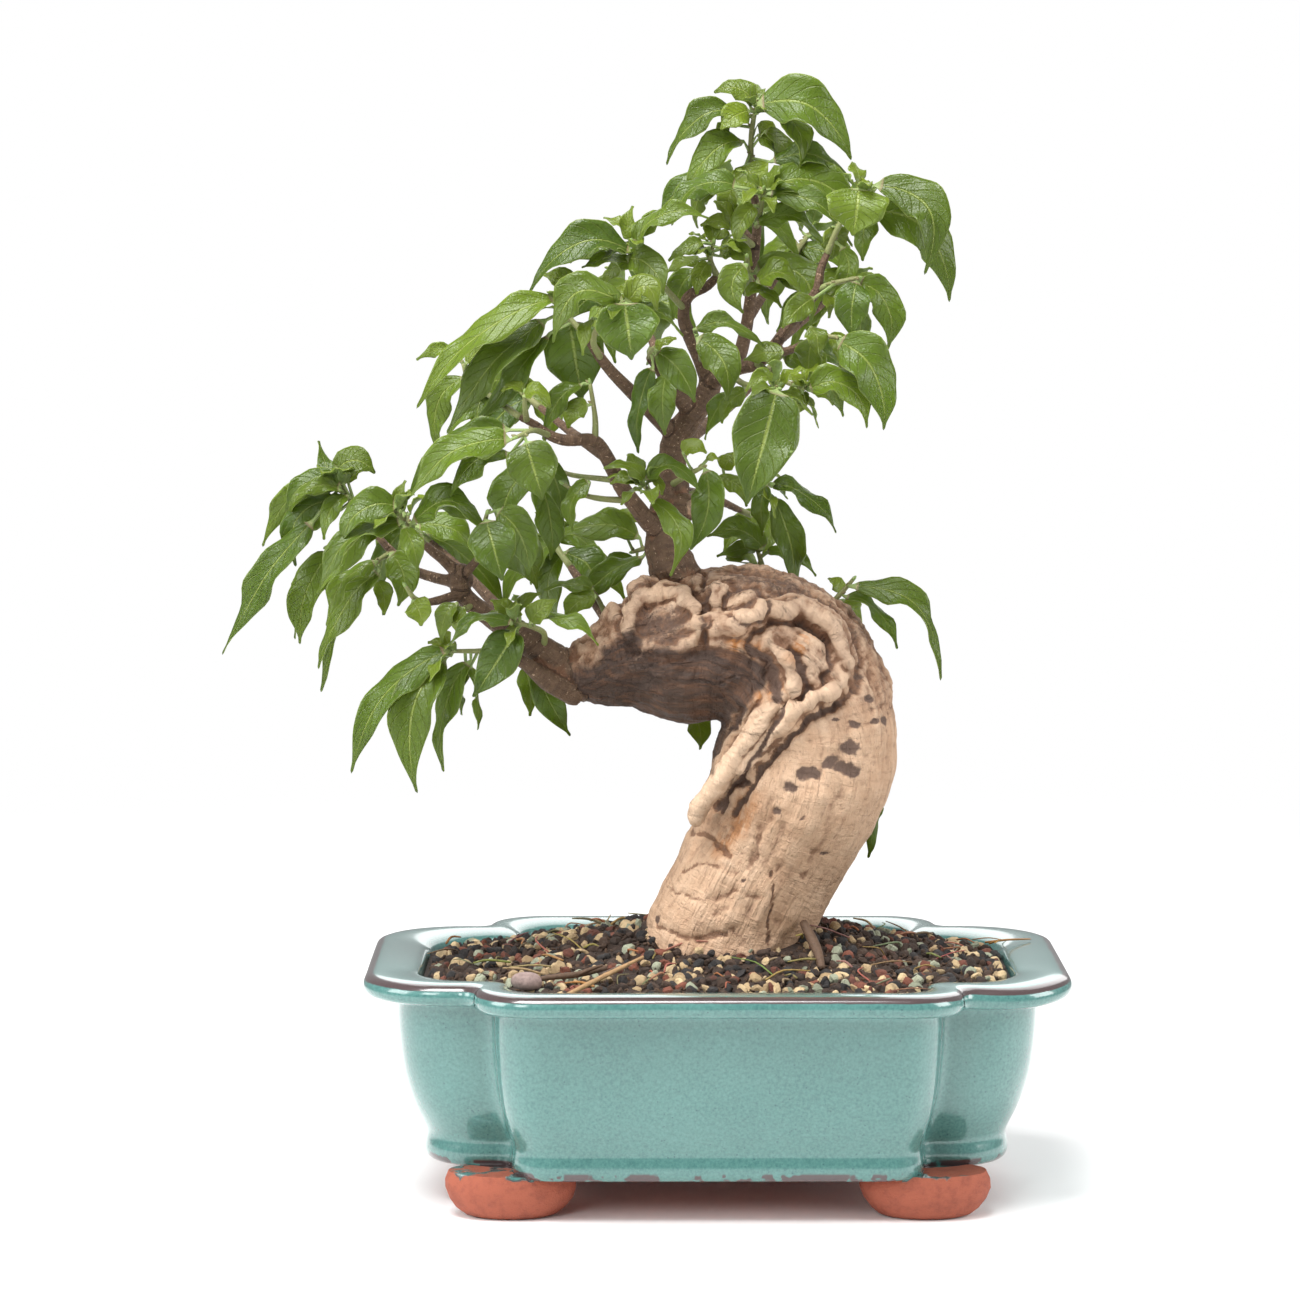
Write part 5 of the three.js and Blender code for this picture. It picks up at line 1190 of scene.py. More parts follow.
@dataclass
class GrainScatter:
    """Strews one kind of loose grain over a surface with Geometry Nodes."""

    seed: int = 4
    crook_mm: float = 2.3
    crook_width_mm: float = 2.6

    def tree(self) -> bpy.types.NodeTree:
        """Build the node tree.

        Returns:
            A tree that takes the surface and the grains' number, sizes, fineness, seed and finish.
        """
        group = bpy.data.node_groups.new("grain_scatter", "GeometryNodeTree")
        for name, kind in (
            ("Surface", "Geometry"), ("Density", "Float"), ("Smallest", "Float"), ("Largest", "Float"),
            ("Fineness", "Int"), ("Seed", "Int"), ("Finish", "Material"),
        ):
            group.interface.new_socket(name, in_out="INPUT", socket_type=f"NodeSocket{kind}")
        group.interface.new_socket("Grains", in_out="OUTPUT", socket_type="NodeSocketGeometry")
        nodes = Tree(group)
        given = nodes.node("NodeGroupInput")
        surface, density, low, high, fineness, seed, finish = (
            Link(nodes, socket) for socket in given.outputs[:7]
        )
        spots = nodes.link(
            "GeometryNodeDistributePointsOnFaces", {"distribute_method": "RANDOM"},
            {"Mesh": surface, "Density": density, "Seed": seed}, "Points",
        )
        ball = nodes.link("GeometryNodeMeshIcoSphere", None, {"Radius": 0.5 * MM, "Subdivisions": fineness})
        turned = nodes.link(
            "FunctionNodeRandomValue", {"data_type": "FLOAT_VECTOR"},
            {0: (0.0, 0.0, 0.0), 1: (6.3, 6.3, 6.3), "Seed": seed + 1.0},
        )
        least, most = (
            nodes.link("ShaderNodeCombineXYZ", None, {0: size, 1: size, 2: size * flat})
            for size, flat in ((low, 0.7), (high, 0.8))
        )
        sized = nodes.link(
            "FunctionNodeRandomValue", {"data_type": "FLOAT_VECTOR"}, {0: least, 1: most, "Seed": seed + 2.0}
        )
        placed = nodes.link("GeometryNodeInstanceOnPoints", None, {
            "Points": spots, "Instance": ball, "Rotation": turned, "Scale": sized,
        })
        tint = nodes.link("FunctionNodeRandomValue", {"data_type": "FLOAT"}, {"Seed": seed + 3.0}, 1)
        tinted = nodes.link(
            "GeometryNodeStoreNamedAttribute", {"data_type": "FLOAT", "domain": "INSTANCE"},
            {"Geometry": placed, "Name": "tint", "Value": tint},
        )
        real = nodes.link("GeometryNodeRealizeInstances", None, {0: tinted})
        noise_scale = 1 / (self.crook_width_mm * MM)
        crook = nodes.link("ShaderNodeTexNoise", None, {"Scale": noise_scale, "Detail": 1.0}, "Color")
        middle = (0.5, 0.5, 0.5)
        centred = nodes.link("ShaderNodeVectorMath", {"operation": "SUBTRACT"}, {0: crook, 1: middle})
        reach = {0: centred, "Scale": self.crook_mm * MM}
        push = nodes.link("ShaderNodeVectorMath", {"operation": "SCALE"}, reach)
        bent = nodes.link("GeometryNodeSetPosition", None, {"Geometry": real, "Offset": push})
        dressed = nodes.link("GeometryNodeSetMaterial", None, {"Geometry": bent, "Material": finish})
        nodes.node("NodeGroupOutput", None, {"Grains": dressed})
        return group

    def build(self, kind: Grit, surface: bpy.types.Object) -> bpy.types.Object:
        """Strew one kind of grain over a surface and make the grains a plain mesh.

        Args:
            kind: the kind of grain.
            surface: the object whose faces carry the grains. It becomes the grains.

        Returns:
            The grains.
        """
        strew = surface.modifiers.new("grains", "NODES")
        strew.node_group = self.tree()
        sockets = strew.node_group.interface.items_tree
        inputs = {item.name: item.identifier for item in sockets if item.in_out == "INPUT"}
        values = {
            "Density": kind.per_cm2 * 1e4, "Smallest": kind.size_mm[0], "Largest": kind.size_mm[1],
            "Fineness": kind.fine + 1, "Seed": self.seed + kind.seed, "Finish": kind.material(),
        }
        for name, value in values.items():
            strew[inputs[name]] = value
        plain_mesh(surface)
        surface.name = surface.data.name = kind.name
        return surface


STRAW, BARK, PINK = (0.55, 0.33, 0.15), (0.16, 0.09, 0.05), (0.42, 0.3, 0.27)
# The colour and the stops (x, y, z, radius) of the single straw, the forked twig and the surface root
STICKS = (
    (STRAW, [(-44, -62, 68.5, 0.7), (-38, -58, 71, 0.75), (-30, -52, 74, 0.7), (-22, -46, 77, 0.5)]),
    (BARK, [(-58, -48, 69.5, 0.5), (-50, -47, 71, 0.8), (-41, -44, 71.5, 1.0), (-33, -41, 73, 0.9)]),
    (BARK, [(-41, -44, 71.5, 0.8), (-37, -46, 73.5, 0.6), (-34, -49, 75, 0.35)]),
    (BARK, [(26, -13, 82, 1.2), (28, -17, 78.5, 1.6), (30, -22, 74.5, 1.5), (31, -27, 70.5, 1.2)]),
)


@dataclass
class Soil:
    """The filled pot: a mound of peat, loose grains, straw, twigs and a surface root."""

    pot: Pot
    mound: tuple[float, float, float, float, float] = (14.0, 5.0, 50.0, 12.0, 32.0)
    edge_inset: float = 17.3
    edge_height: float = 67.2
    trunk_at: tuple[float, float] = (2.5, 5.0)
    trunk_radius: float = 20.0
    fibres: int = 90

    def height(self, x: np.ndarray, y: np.ndarray) -> np.ndarray:
        """The soil's height at places, in millimetres."""
        rise, mid_x, wide, mid_y, deep = self.mound
        return self.edge_height + rise * np.exp(-(((x - mid_x) / wide) ** 2 + ((y - mid_y) / deep) ** 2))

    def surface(self, shares: np.ndarray) -> np.ndarray:
        """Rings of the soil's top at shares of the way out to the edge."""
        edge = self.pot.plan(self.edge_inset)
        rings = []
        for share in shares:
            ring = edge * share
            z = self.height(ring[:, 0], ring[:, 1])
            z = z * (1 - share ** 12) + (self.edge_height - 0.6) * share ** 12
            flat = np.column_stack((ring, np.zeros(len(ring))))
            z += (1 - share ** 12) * (1.1 * relief(flat, 9.0, 3) + 0.7 * relief(flat, 28.0))
            rings.append(np.column_stack((ring, z)))
        return np.array(rings)

    def bed(self) -> bpy.types.Object:
        """The body of peat under the grains."""
        low = []
        for inset, z in ((27.7, 19.7), (23.7, 28.0), (21.1, 38.0), (19.2, 54.0), (18.1, 62.0)):
            ring = self.pot.plan(inset)
            low.append(np.column_stack((ring, np.full(len(ring), z))))
        shape = Shape()
        top = self.surface(np.linspace(1.0, 0.02, 34))
        shape.loft(np.vstack((np.array(low), top)))
        return shape.to_object("soil_bed", [Peat().material()])

    def carrier(self) -> bpy.types.Object:
        """The open surface that the grains are strewn on: the soil's top without the trunk's foot."""
        rings = self.surface(np.linspace(0.975, 0.05, 30))
        around = rings.shape[1]
        mesh = bpy.data.meshes.new("soil_top")
        faces, middles = [], []
        for ring in range(len(rings) - 1):
            low, high = ring * around, (ring + 1) * around
            for i in range(around):
                following = (i + 1) % around
                faces.append((low + i, low + following, high + following, high + i))
                middles.append(rings[ring][i, :2])
        clear = np.hypot(*(np.array(middles) - self.trunk_at).T) > self.trunk_radius
        kept = [face for face, is_clear in zip(faces, clear) if is_clear]
        points = rings.reshape(-1, 3) + (0, 0, 0.3)
        mesh.from_pydata((points * MM + ORIGIN).tolist(), [], kept)
        carrier = bpy.data.objects.new("soil_top", mesh)
        bpy.context.scene.collection.objects.link(carrier)
        return carrier

    def litter(self) -> bpy.types.Object:
        """Straw, a forked twig, fibres, a pebble and the root beside the trunk."""
        shape = Shape()
        for tint, stops in STICKS:
            shape.tube(np.array(stops, float), 10, 4, trait=tint, rough=0.12)
        self.add_fibres(shape)
        self.add_pebble(shape)
        return shape.to_object("soil_litter", [Litter().material()])

    def add_fibres(self, shape: Shape) -> None:
        """Strew short bent straws over the soil."""
        picks = random.Random(8)
        for _ in range(self.fibres):
            spot = self.random_spot(picks)
            turn = picks.uniform(0, 2 * math.pi)
            length = picks.uniform(4, 15)
            way = np.array((math.cos(turn), math.sin(turn), picks.uniform(-0.1, 0.35))) * length
            bend = np.array((-way[1], way[0], picks.uniform(0.3, 2.0))) * picks.uniform(-0.25, 0.25)
            thick = picks.uniform(0.16, 0.42)
            tint = tuple(channel * picks.uniform(0.35, 1.0) for channel in STRAW)
            middle = spot + way / 2 + bend + (0, 0, 0.8)
            line = [(*spot, thick), (*middle, thick), (*(spot + way), thick * 0.6)]
            shape.tube(np.array(line), 5, 3, trait=tint)

    @staticmethod
    def add_pebble(shape: Shape) -> None:
        """Lay the pink pebble in the front left corner."""
        turn = circle_turns(20)
        rings = []
        for share in np.linspace(0.12, 0.88, 9):
            swell = math.sin(math.pi * share) ** 0.6
            height = np.full(len(turn), -2.6 * math.cos(math.pi * share))
            ring = np.column_stack((4.6 * swell * np.cos(turn), 3.4 * swell * np.sin(turn), height))
            rings.append(ring * (1 + 0.12 * relief(ring, 4.0))[:, None] + (-56, -50, 70.5))
        shape.loft(np.array(rings), np.full((*np.shape(rings)[:2], 3), PINK))

    def random_spot(self, picks: random.Random) -> np.ndarray:
        """A random place on the soil, off the trunk."""
        while True:
            x, y = picks.uniform(-86, 86), picks.uniform(-58, 58)
            if math.hypot(x - self.trunk_at[0], y - self.trunk_at[1]) > 25 and (abs(x) < 52 or abs(y) < 38):
                return np.array((x, y, float(self.height(np.array(x), np.array(y))) + 1.4))

    def build(self) -> bpy.types.Object:
        """Join the peat, the grains and the litter to one piece.

        Returns:
            The finished soil.
        """
        grains = [GrainScatter().build(kind, self.carrier()) for kind in GRIT_KINDS]
        merged = merge("potting_soil", [self.bed(), *grains, self.litter()])
        return settle(merged, "soil", "soil")


def merge(name: str, pieces: list[bpy.types.Object]) -> bpy.types.Object:
    """Join objects into the first one.

    Args:
        name: the joined piece's name.
        pieces: the objects. All but the first are removed.

    Returns:
        The joined piece.
    """
    with bpy.context.temp_override(active_object=pieces[0], selected_editable_objects=pieces):
        bpy.ops.object.join()
    pieces[0].name = pieces[0].data.name = name
    return pieces[0]


class Tone(enum.IntEnum):
    """What a mark does to the bark's colour."""

    NONE = 0
    CHAR = 1
    DARK = 2
    PALE = 3
    FIBRE = 4


@dataclass(frozen=True)
class Mark:
    """A feature on the trunk's front: a line of (x, z) as it is seen, with its height and its tone."""

    line: tuple[tuple[float, float], ...]
    half: float
    height: float = 0.0
    tone: Tone = Tone.NONE
    strength: float = 1.0

    def share(self, x: np.ndarray, z: np.ndarray) -> np.ndarray:
        """How much of the mark each seen place takes, from 0 to 1."""
        nearest = np.full(len(x), 1e9)
        ends = self.line if len(self.line) > 1 else self.line * 2
        for (from_x, from_z), (to_x, to_z) in zip(ends, ends[1:]):
            way_x, way_z = to_x - from_x, to_z - from_z
            long = max(way_x ** 2 + way_z ** 2, 1e-9)
            along = np.clip(((x - from_x) * way_x + (z - from_z) * way_z) / long, 0, 1)
            nearest = np.minimum(nearest, np.hypot(x - from_x - along * way_x, z - from_z - along * way_z))
        return np.exp(-((nearest / self.half) ** 2) ** 1.3)


def ring_line(x: float, z: float, half_x: float, half_z: float) -> tuple[tuple[float, float], ...]:
    """A closed line around a place, as it is seen."""
    turns = np.linspace(0, 2 * math.pi, 17)
    return tuple((x + half_x * math.cos(turn), z + half_z * math.sin(turn)) for turn in turns)


# Charred hollows, scars, rings, strands, cracks and torn fibres on the front of the trunk
MARKS = (
    Mark(((-47, 149), (-30, 151.5), (-14, 155), (-4, 154), (3, 151)), 9.5, -0.9, Tone.CHAR),
    Mark(((-6, 128), (-4, 136), (1, 147)), 6.0, -0.5, Tone.CHAR),
    Mark(((-42, 143), (-22, 144), (-4, 142)), 6.5, 0.0, Tone.CHAR, 0.95),
    Mark(((-3, 160), (7, 158), (12, 154)), 4.5, -0.8, Tone.CHAR, 0.9),
    Mark(((-30, 160), (-26, 164)), 4.5, -0.2, Tone.CHAR, 0.9),
    Mark(ring_line(-16, 171.5, 10.5, 9.0), 2.2, 1.3, Tone.PALE, 0.2),
    Mark(ring_line(-16, 171.5, 14.0, 12.3), 1.2, -1.5, Tone.DARK, 0.45),
    Mark(((-19, 170), (-13, 170)), 7.2, -1.2, Tone.DARK, 0.6),
    Mark(((-11, 176.5), (-13, 175.5)), 2.2, 1.4, Tone.PALE, 0.9),
    Mark(((-26, 181), (-20, 187)), 2.2, 1.5),
    Mark(((-29, 168), (-30, 177)), 2.6, 1.4),
    Mark(((-4, 187), (-3, 179), (-4.5, 170), (-3, 163)), 1.0, -1.7, Tone.DARK, 0.6),
    Mark(ring_line(9, 176, 4.4, 3.0), 1.6, 1.1, Tone.PALE, 0.3),
    Mark(ring_line(9, 176, 7.2, 5.4), 0.9, -1.3, Tone.DARK, 0.65),
    Mark(ring_line(0, 180, 3.0, 2.6), 1.6, 1.2, Tone.PALE, 0.2),
    Mark(
        ((5, 170), (15, 175), (25, 176), (35, 170), (39, 160), (37, 152), (30, 149)), 2.1, 1.8, Tone.PALE, 0.3
    ),
    Mark(
        ((3, 174), (14, 179.5), (27, 180.5), (39, 174), (44, 161), (42, 149), (33, 144.5)),
        1.2, -1.3, Tone.DARK, 0.5,
    ),
    Mark(((10, 167), (18, 171), (26, 171.5), (33, 166), (35, 159), (32, 153)), 1.0, -1.7, Tone.DARK, 0.6),
    Mark(((28, 163), (30, 157)), 4.2, 1.0, Tone.PALE, 0.6),
    Mark(((23, 160), (28, 168)), 2.0, 0.3, Tone.FIBRE),
    Mark(((2, 156), (6, 166), (12, 163)), 2.3, 0.4, Tone.FIBRE, 0.95),
    Mark(((10, 147), (20, 152)), 2.0, 0.4, Tone.FIBRE, 0.9),
    Mark(((2, 103), (7, 111), (10, 118)), 3.4, -0.5, Tone.FIBRE, 0.75),
    Mark(((15, 165), (19, 162), (22, 158), (24, 152), (23, 147), (20, 144)), 1.6, 2.0, Tone.PALE, 0.5),
    Mark(((10, 164), (15, 159), (18, 153), (18, 148)), 1.9, -2.4, Tone.DARK),
    Mark(((22, 164), (26, 158), (27.5, 152), (26.5, 147.5)), 1.0, -1.9, Tone.DARK, 0.85),
    Mark(((21, 152), (15, 143), (8, 133), (2, 125), (-3, 118), (-6, 112)), 2.2, 1.8, Tone.PALE, 0.3),
    Mark(((12, 148), (5, 137), (-1, 128)), 1.8, 1.2, Tone.NONE),
    Mark(((8, 145), (2, 135), (-3, 126)), 1.0, -1.6, Tone.DARK, 0.8),
    Mark(((22, 146), (17, 138), (11, 129.5), (5, 121), (0, 114)), 1.0, -2.0, Tone.DARK, 0.85),
    Mark(((36, 151), (28, 147), (21, 142), (14, 134), (9, 127), (4, 119)), 1.8, 1.7, Tone.PALE, 0.3),
    Mark(((36, 146), (29, 141.5), (22, 136), (15, 128), (9, 119), (5, 113)), 1.0, -1.9, Tone.DARK, 0.85),
    Mark(((7, 122),), 2.3, -2.4, Tone.DARK),
    Mark(((16, 96), (17, 86), (15.5, 73)), 0.5, -0.7, Tone.DARK, 0.6),
    Mark(((-18, 79), (-8, 74.5), (5, 77.5)), 0.9, -0.6, Tone.DARK, 0.35),
    Mark(((-19, 84), (-8, 79), (6, 81)), 2.6, 0.5),
    Mark(((-14, 90), (-4, 86), (6, 89), (14, 87)), 0.8, -0.4, Tone.DARK, 0.2),
    Mark(((-10, 96), (-2, 98), (6, 95)), 0.8, -0.5, Tone.DARK, 0.2),
    Mark(((4, 185), (14, 185), (25, 181)), 4.6, 0.6, Tone.DARK, 0.55),
    Mark(((45, 150), (47, 140), (44, 128)), 4.5, 0.7),
    Mark(((30, 118), (24, 106), (22, 94)), 4.2, 0.6),
    Mark(((12, 116), (8, 104), (2, 92), (-6, 84)), 4.0, 0.6),
    Mark(((19, 120), (14, 108), (10, 97)), 1.8, -0.5),
    Mark(((38, 120), (33, 106), (27, 94)), 1.8, -0.4),
    Mark(((-12, 109), (-3, 106), (4, 100)), 1.1, -1.0, Tone.DARK, 0.35),
)
# Dark oval scars: (x, z, half width, half height)
SCARS: Rows = [
    (40, 133, 3.4, 2.3), (34.5, 129, 2.5, 2.0), (38, 127.5, 2.2, 1.6), (41, 127, 3.0, 2.2),
    (30, 125.5, 3.0, 2.2), (26.5, 125, 2.2, 2.0), (22, 121, 2.8, 1.9), (42, 140, 2.3, 1.3),
    (47, 141, 1.8, 1.4), (50.5, 141.5, 1.2, 1.7), (36, 142, 1.5, 0.8), (43, 155, 1.8, 1.3),
    (37, 146, 1.2, 0.9), (45, 148, 1.3, 0.9),
    (18, 113, 1.4, 1.1), (-18, 81, 1.4, 1.2), (33, 101, 1.2, 0.8), (9, 92, 1.1, 0.8), (26, 112, 1.0, 0.8),
]
# Thinner than this, a limb is a brown twig and not the tan trunk
TWIG_RADIUS = 9.5
# Along a knob's axis in half radii, and its width there as a share of its radius
KNOB_PROFILE = ((-1.4, 0.68), (-0.8, 0.92), (0, 1.0), (0.8, 0.9), (1.4, 0.66))


@dataclass(frozen=True)
class Bark:
    """Tan wrinkled bark of the trunk, brown bark of the twigs, and what the marks paint, with painted shade in
    its hollows and painted highlight on its ridges.
    """

    tan: Colour = (0.43, 0.25, 0.145, 1.0)
    sand: Colour = (0.72, 0.5, 0.34, 1.0)
    brown: Colour = (0.17, 0.08, 0.042, 1.0)
    twig: Colour = (0.19, 0.115, 0.066, 1.0)
    twig_dark: Colour = (0.06, 0.034, 0.021, 1.0)
    char: Colour = (0.05, 0.031, 0.024, 1.0)
    scar: Colour = (0.13, 0.08, 0.058, 1.0)
    wood: Colour = (0.7, 0.52, 0.37, 1.0)
    fibre: Colour = (0.42, 0.17, 0.05, 1.0)

    def material(self) -> bpy.types.Material:
        """Build the material from the mesh's grain, tones and kinds."""
        paint = Paint("bark")
        grain = paint.link("ShaderNodeAttribute", {"attribute_name": "grain"}, output="Vector")
        char, dark, pale = paint.parts("tones")
        twig, fibre, gnarl = paint.parts("kinds")
        along = paint.cloud(2.4, 5.0, 0.65, paint.stretched(grain, (1.0, 1.0, 0.16)), 0.3)
        across = paint.cloud(1.5, 4.0, 0.65, paint.stretched(grain, (0.22, 0.22, 1.0)), 0.5)
        patches = paint.cloud(16.0, 4.0, 0.6)
        flecks = paint.cloud(0.9, 3.0, 0.7)
        trunk = paint.mix((patches * 1.5 - 0.3).clip(), self.tan, self.sand)
        plates = paint.cells(7.0, "DISTANCE_TO_EDGE", paint.stretched(grain, (1.0, 1.0, 0.5)))
        cracks = (1 - plates.rise(0.0, 0.09)) * gnarl * patches.rise(0.4, 0.55)
        trunk = paint.mix(cracks * 0.5, trunk, self.brown)
        trunk = paint.mix(along.rise(0.54, 0.74) * 0.5, trunk, self.brown)
        trunk = paint.mix(across.rise(0.58, 0.74) * 0.35, trunk, self.brown)
        trunk = paint.mix(flecks.rise(0.6, 0.72) * patches.rise(0.45, 0.6) * 0.6, trunk, self.scar)
        grime = (gnarl * 1.1 + patches * 1.6 - 1.1).clip()
        trunk = paint.mix(grime * (across * 1.1 + 0.15), trunk, self.brown)
        rings = paint.cloud(1.2, 3.0, 0.6, paint.stretched(grain, (0.3, 0.3, 1.0)))
        thin = paint.mix((rings * 1.6 - 0.35).clip(), self.twig_dark, self.twig)
        thin = paint.mix(flecks.rise(0.62, 0.7) * 0.7, thin, self.sand)
        colour = paint.mix(twig, trunk, thin)
        colour = paint.mix(pale * (along * 0.9 + 0.4), colour, self.wood)
        streaks = along.rise(0.42, 0.6) * patches.rise(0.3, 0.55)
        colour = paint.mix(streaks * gnarl * 0.55 * (1 - twig), colour, self.brown)
        colour = paint.mix(fibre * along.rise(0.4, 0.55), colour, self.fibre)
        sooty = (char * 1.7 + patches * 0.8 + across * 0.5 - 0.95).clip().rise(0.1, 0.8)
        soot = paint.mix(along.rise(0.42, 0.7) * 0.7, self.char, self.brown)
        colour = paint.mix(sooty * 0.95, colour, soot)
        fine_hollow, wide_hollow, _ = paint.parts("hollow")
        # Painted shade: the skin's hollows are darkened towards brown
        painted_hollow_shade = (fine_hollow * 0.6 + wide_hollow * 0.75 + flecks * 0.6 - 0.38).clip()
        colour = paint.mix(painted_hollow_shade * (1 - sooty) * 0.8, colour, self.brown)
        # Painted highlight: the skin's ridges are lightened towards the pale wood colour
        painted_ridge_highlight = (wide_hollow * -0.5 + fine_hollow * -0.3 - 0.15).clip()
        colour = paint.mix(painted_ridge_highlight * (1 - twig) * (1 - sooty) * 0.35, colour, self.wood)
        ragged = paint.cloud(1.6, 3.0, 0.7)
        colour = paint.mix((dark * 1.5 + ragged * 1.6 - 1.15).clip().rise(0.05, 0.7), colour, self.scar)
        threads = paint.cloud(0.9, 3.0, 0.6, paint.stretched(grain, (1.0, 1.0, 0.12)))
        woven = paint.bump(threads, 0.9, 0.8)
        coarse = paint.bump(along, 1.6, 0.9, woven)
        split = paint.bump(1 - cracks, 0.9, 0.8, coarse)
        wrinkles = paint.bump(across, 1.1, 0.8, split)
        fine = paint.bump(flecks, 0.25, 0.6, wrinkles)
        shader = paint.principled({
            "Base Color": colour, "Roughness": along * 0.2 + 0.58, "Normal": fine,
            "Specular IOR Level": 0.35,
        })
        return paint.finish(shader)


@dataclass
class Trunk:
    """The thick trunk with its bough, branches, knobs and twigs in one skin."""

    voxel_mm: float = 0.8
    sides: int = 18
    smoothing: int = 7
    # How far one limb's grain is shifted along from the one before it
    limb_shift: float = 37.0
    # How many points are worked out at a time
    batch: int = 4000

    @staticmethod
    def limbs() -> list[np.ndarray]:
        """Every limb's stops as rows of x, y, z and radius."""
        deep = [deepen(rows) for rows in [*BRANCHES, *BACK_TWIGS]]
        return [
            np.array([(*seen(x, z, y), radius) for x, z, y, radius in rows], float)
            for rows in [TRUNK_SPINE, *deep, *TRUNK_RELIEF]
        ]

    def rough_mesh(self) -> bpy.types.Object:
        """All limbs and knobs as one voxel mesh."""
        shape = Shape()
        for stops in self.limbs():
            shape.tube(stops, self.sides, 4)
        for x, z, y, radius in KNOBS:
            centre = seen(x, z, y)
            step = 0.5 * radius
            way = unit(np.array((0.2, -1.0, 0.3)))
            rows = [(*(centre + way * share * step), radius * size) for share, size in KNOB_PROFILE]
            shape.tube(np.array(rows), self.sides, 3)
        wood = shape.to_object("wood", [])
        remesh = wood.modifiers.new("skin", "REMESH")
        remesh.mode, remesh.voxel_size, remesh.use_smooth_shade = "VOXEL", self.voxel_mm * MM, True
        plain_mesh(wood)
        return wood

    def along_limbs(self, places: np.ndarray, limbs: list[np.ndarray]) -> tuple[np.ndarray, np.ndarray]:
        """Straightened coordinates and the radius of the nearest limb.

        Args:
            places: the mesh's points, in millimetres.
            limbs: the limbs' stops.

        Returns:
            Rows of (across, across, along), in millimetres, and the limbs' radii.
        """
        middles, radii, lengths, ways = [], [], [], []
        start = 0.0
        for stops in limbs:
            line = soft_path(stops, 6)
            steps = np.linalg.norm(np.diff(line[:, :3], axis=0), axis=1)
            middles.append(line[:, :3])
            radii.append(line[:, 3])
            lengths.append(start + np.concatenate(([0], np.cumsum(steps))))
            ways.append(unit(np.gradient(line[:, :3], axis=0)))
            start += self.limb_shift
        middle, radius = np.vstack(middles), np.concatenate(radii)
        length, way = np.concatenate(lengths), np.vstack(ways)
        grain, near_radius = np.zeros((len(places), 3)), np.zeros(len(places))
        for first in range(0, len(places), self.batch):
            part = slice(first, first + self.batch)
            gap = np.linalg.norm(places[part, None] - middle[None], axis=2) / radius
            nearest = gap.argmin(axis=1)
            offset = places[part] - middle[nearest]
            forward = np.sum(offset * way[nearest], axis=1)
            side = unit(np.cross(way[nearest], np.array((0.3, 0.9, 0.2))))
            other = np.cross(way[nearest], side)
            turn = np.arctan2(np.sum(offset * other, axis=1), np.sum(offset * side, axis=1))
            grain[part] = np.column_stack((
                radius[nearest] * np.cos(turn), radius[nearest] * np.sin(turn), length[nearest] + forward
            ))
            near_radius[part] = radius[nearest]
        return grain, near_radius

    def smooth(self, places: np.ndarray, edges: np.ndarray, radius: np.ndarray) -> np.ndarray:
        """Even out the voxel steps, least on thin limbs."""
        strength = np.clip(radius / 12, 0.2, 0.85)[:, None]
        for turn in range(2 * self.smoothing):
            share = strength if turn % 2 == 0 else -1.04 * strength
            places = places + share * 0.6 * (self.evened(places, edges) - places)
        return places

    @staticmethod
    def evened(places: np.ndarray, edges: np.ndarray) -> np.ndarray:
        """The middle of each point's neighbours."""
        total = np.column_stack([
            np.bincount(edges[:, 0], places[edges[:, 1], axis], len(places))
            + np.bincount(edges[:, 1], places[edges[:, 0], axis], len(places)) for axis in range(3)
        ])
        return total / np.maximum(np.bincount(edges.ravel(), minlength=len(places)), 1)[:, None]

    def build(self) -> bpy.types.Object:
        """Build the skin, carve the marks and store what the bark reads.

        Returns:
            The finished trunk.
        """
        wood = self.rough_mesh()
        mesh = wood.data
        places = (numbers(mesh.vertices, "co", 3) - ORIGIN) / MM
        edges = numbers(mesh.edges, "vertices", 2, np.int32)
        limbs = self.limbs()
        grain, radius = self.along_limbs(places, limbs[:1 + len(BRANCHES) + len(BACK_TWIGS)])
        places = self.smooth(places, edges, radius)
        self.write(mesh, places)
        normals = numbers(mesh.vertex_normals, "vector", 3, np.float32)
        thick = smooth_step(radius, 3.0, 14.0)
        gnarled = smooth_step(as_seen(places)[1], 128.0, 160.0) * smooth_step(radius, 4.0, 9.0)
        push = self.swelling(places, grain, radius, gnarled)
        tones = self.carve(push, places, -normals[:, 1], thick)
        slim = 1 - smooth_step(radius, TWIG_RADIUS - 2.5, TWIG_RADIUS + 1.5)
        push += 0.5 * slim * smooth_step(radius, 1.5, 6.0) * relief(grain * (1, 1, 0.6), 3.4, 3, 17.0)
        push += 0.5 * np.minimum(1, 3 * tones[Tone.PALE]) * relief(grain * (1, 1, 0.4), 2.6, 2, 13.0)
        places = places + normals * push[:, None]
        self.store(mesh, "grain", grain * MM)
        self.store(mesh, "tones", np.column_stack((tones[Tone.CHAR], tones[Tone.DARK], tones[Tone.PALE])))
        self.write(mesh, places)
        self.store(mesh, "hollow", self.hollows(places, edges, normals))
        self.store(mesh, "kinds", np.column_stack((slim, tones[Tone.FIBRE], gnarled)))
        mesh.polygons.foreach_set("use_smooth", [True] * len(mesh.polygons))
        mesh.materials.clear()
        mesh.materials.append(Bark().material())
        wood.name = mesh.name = "wood_trunk"
        return settle(wood, "bark", "trunk")

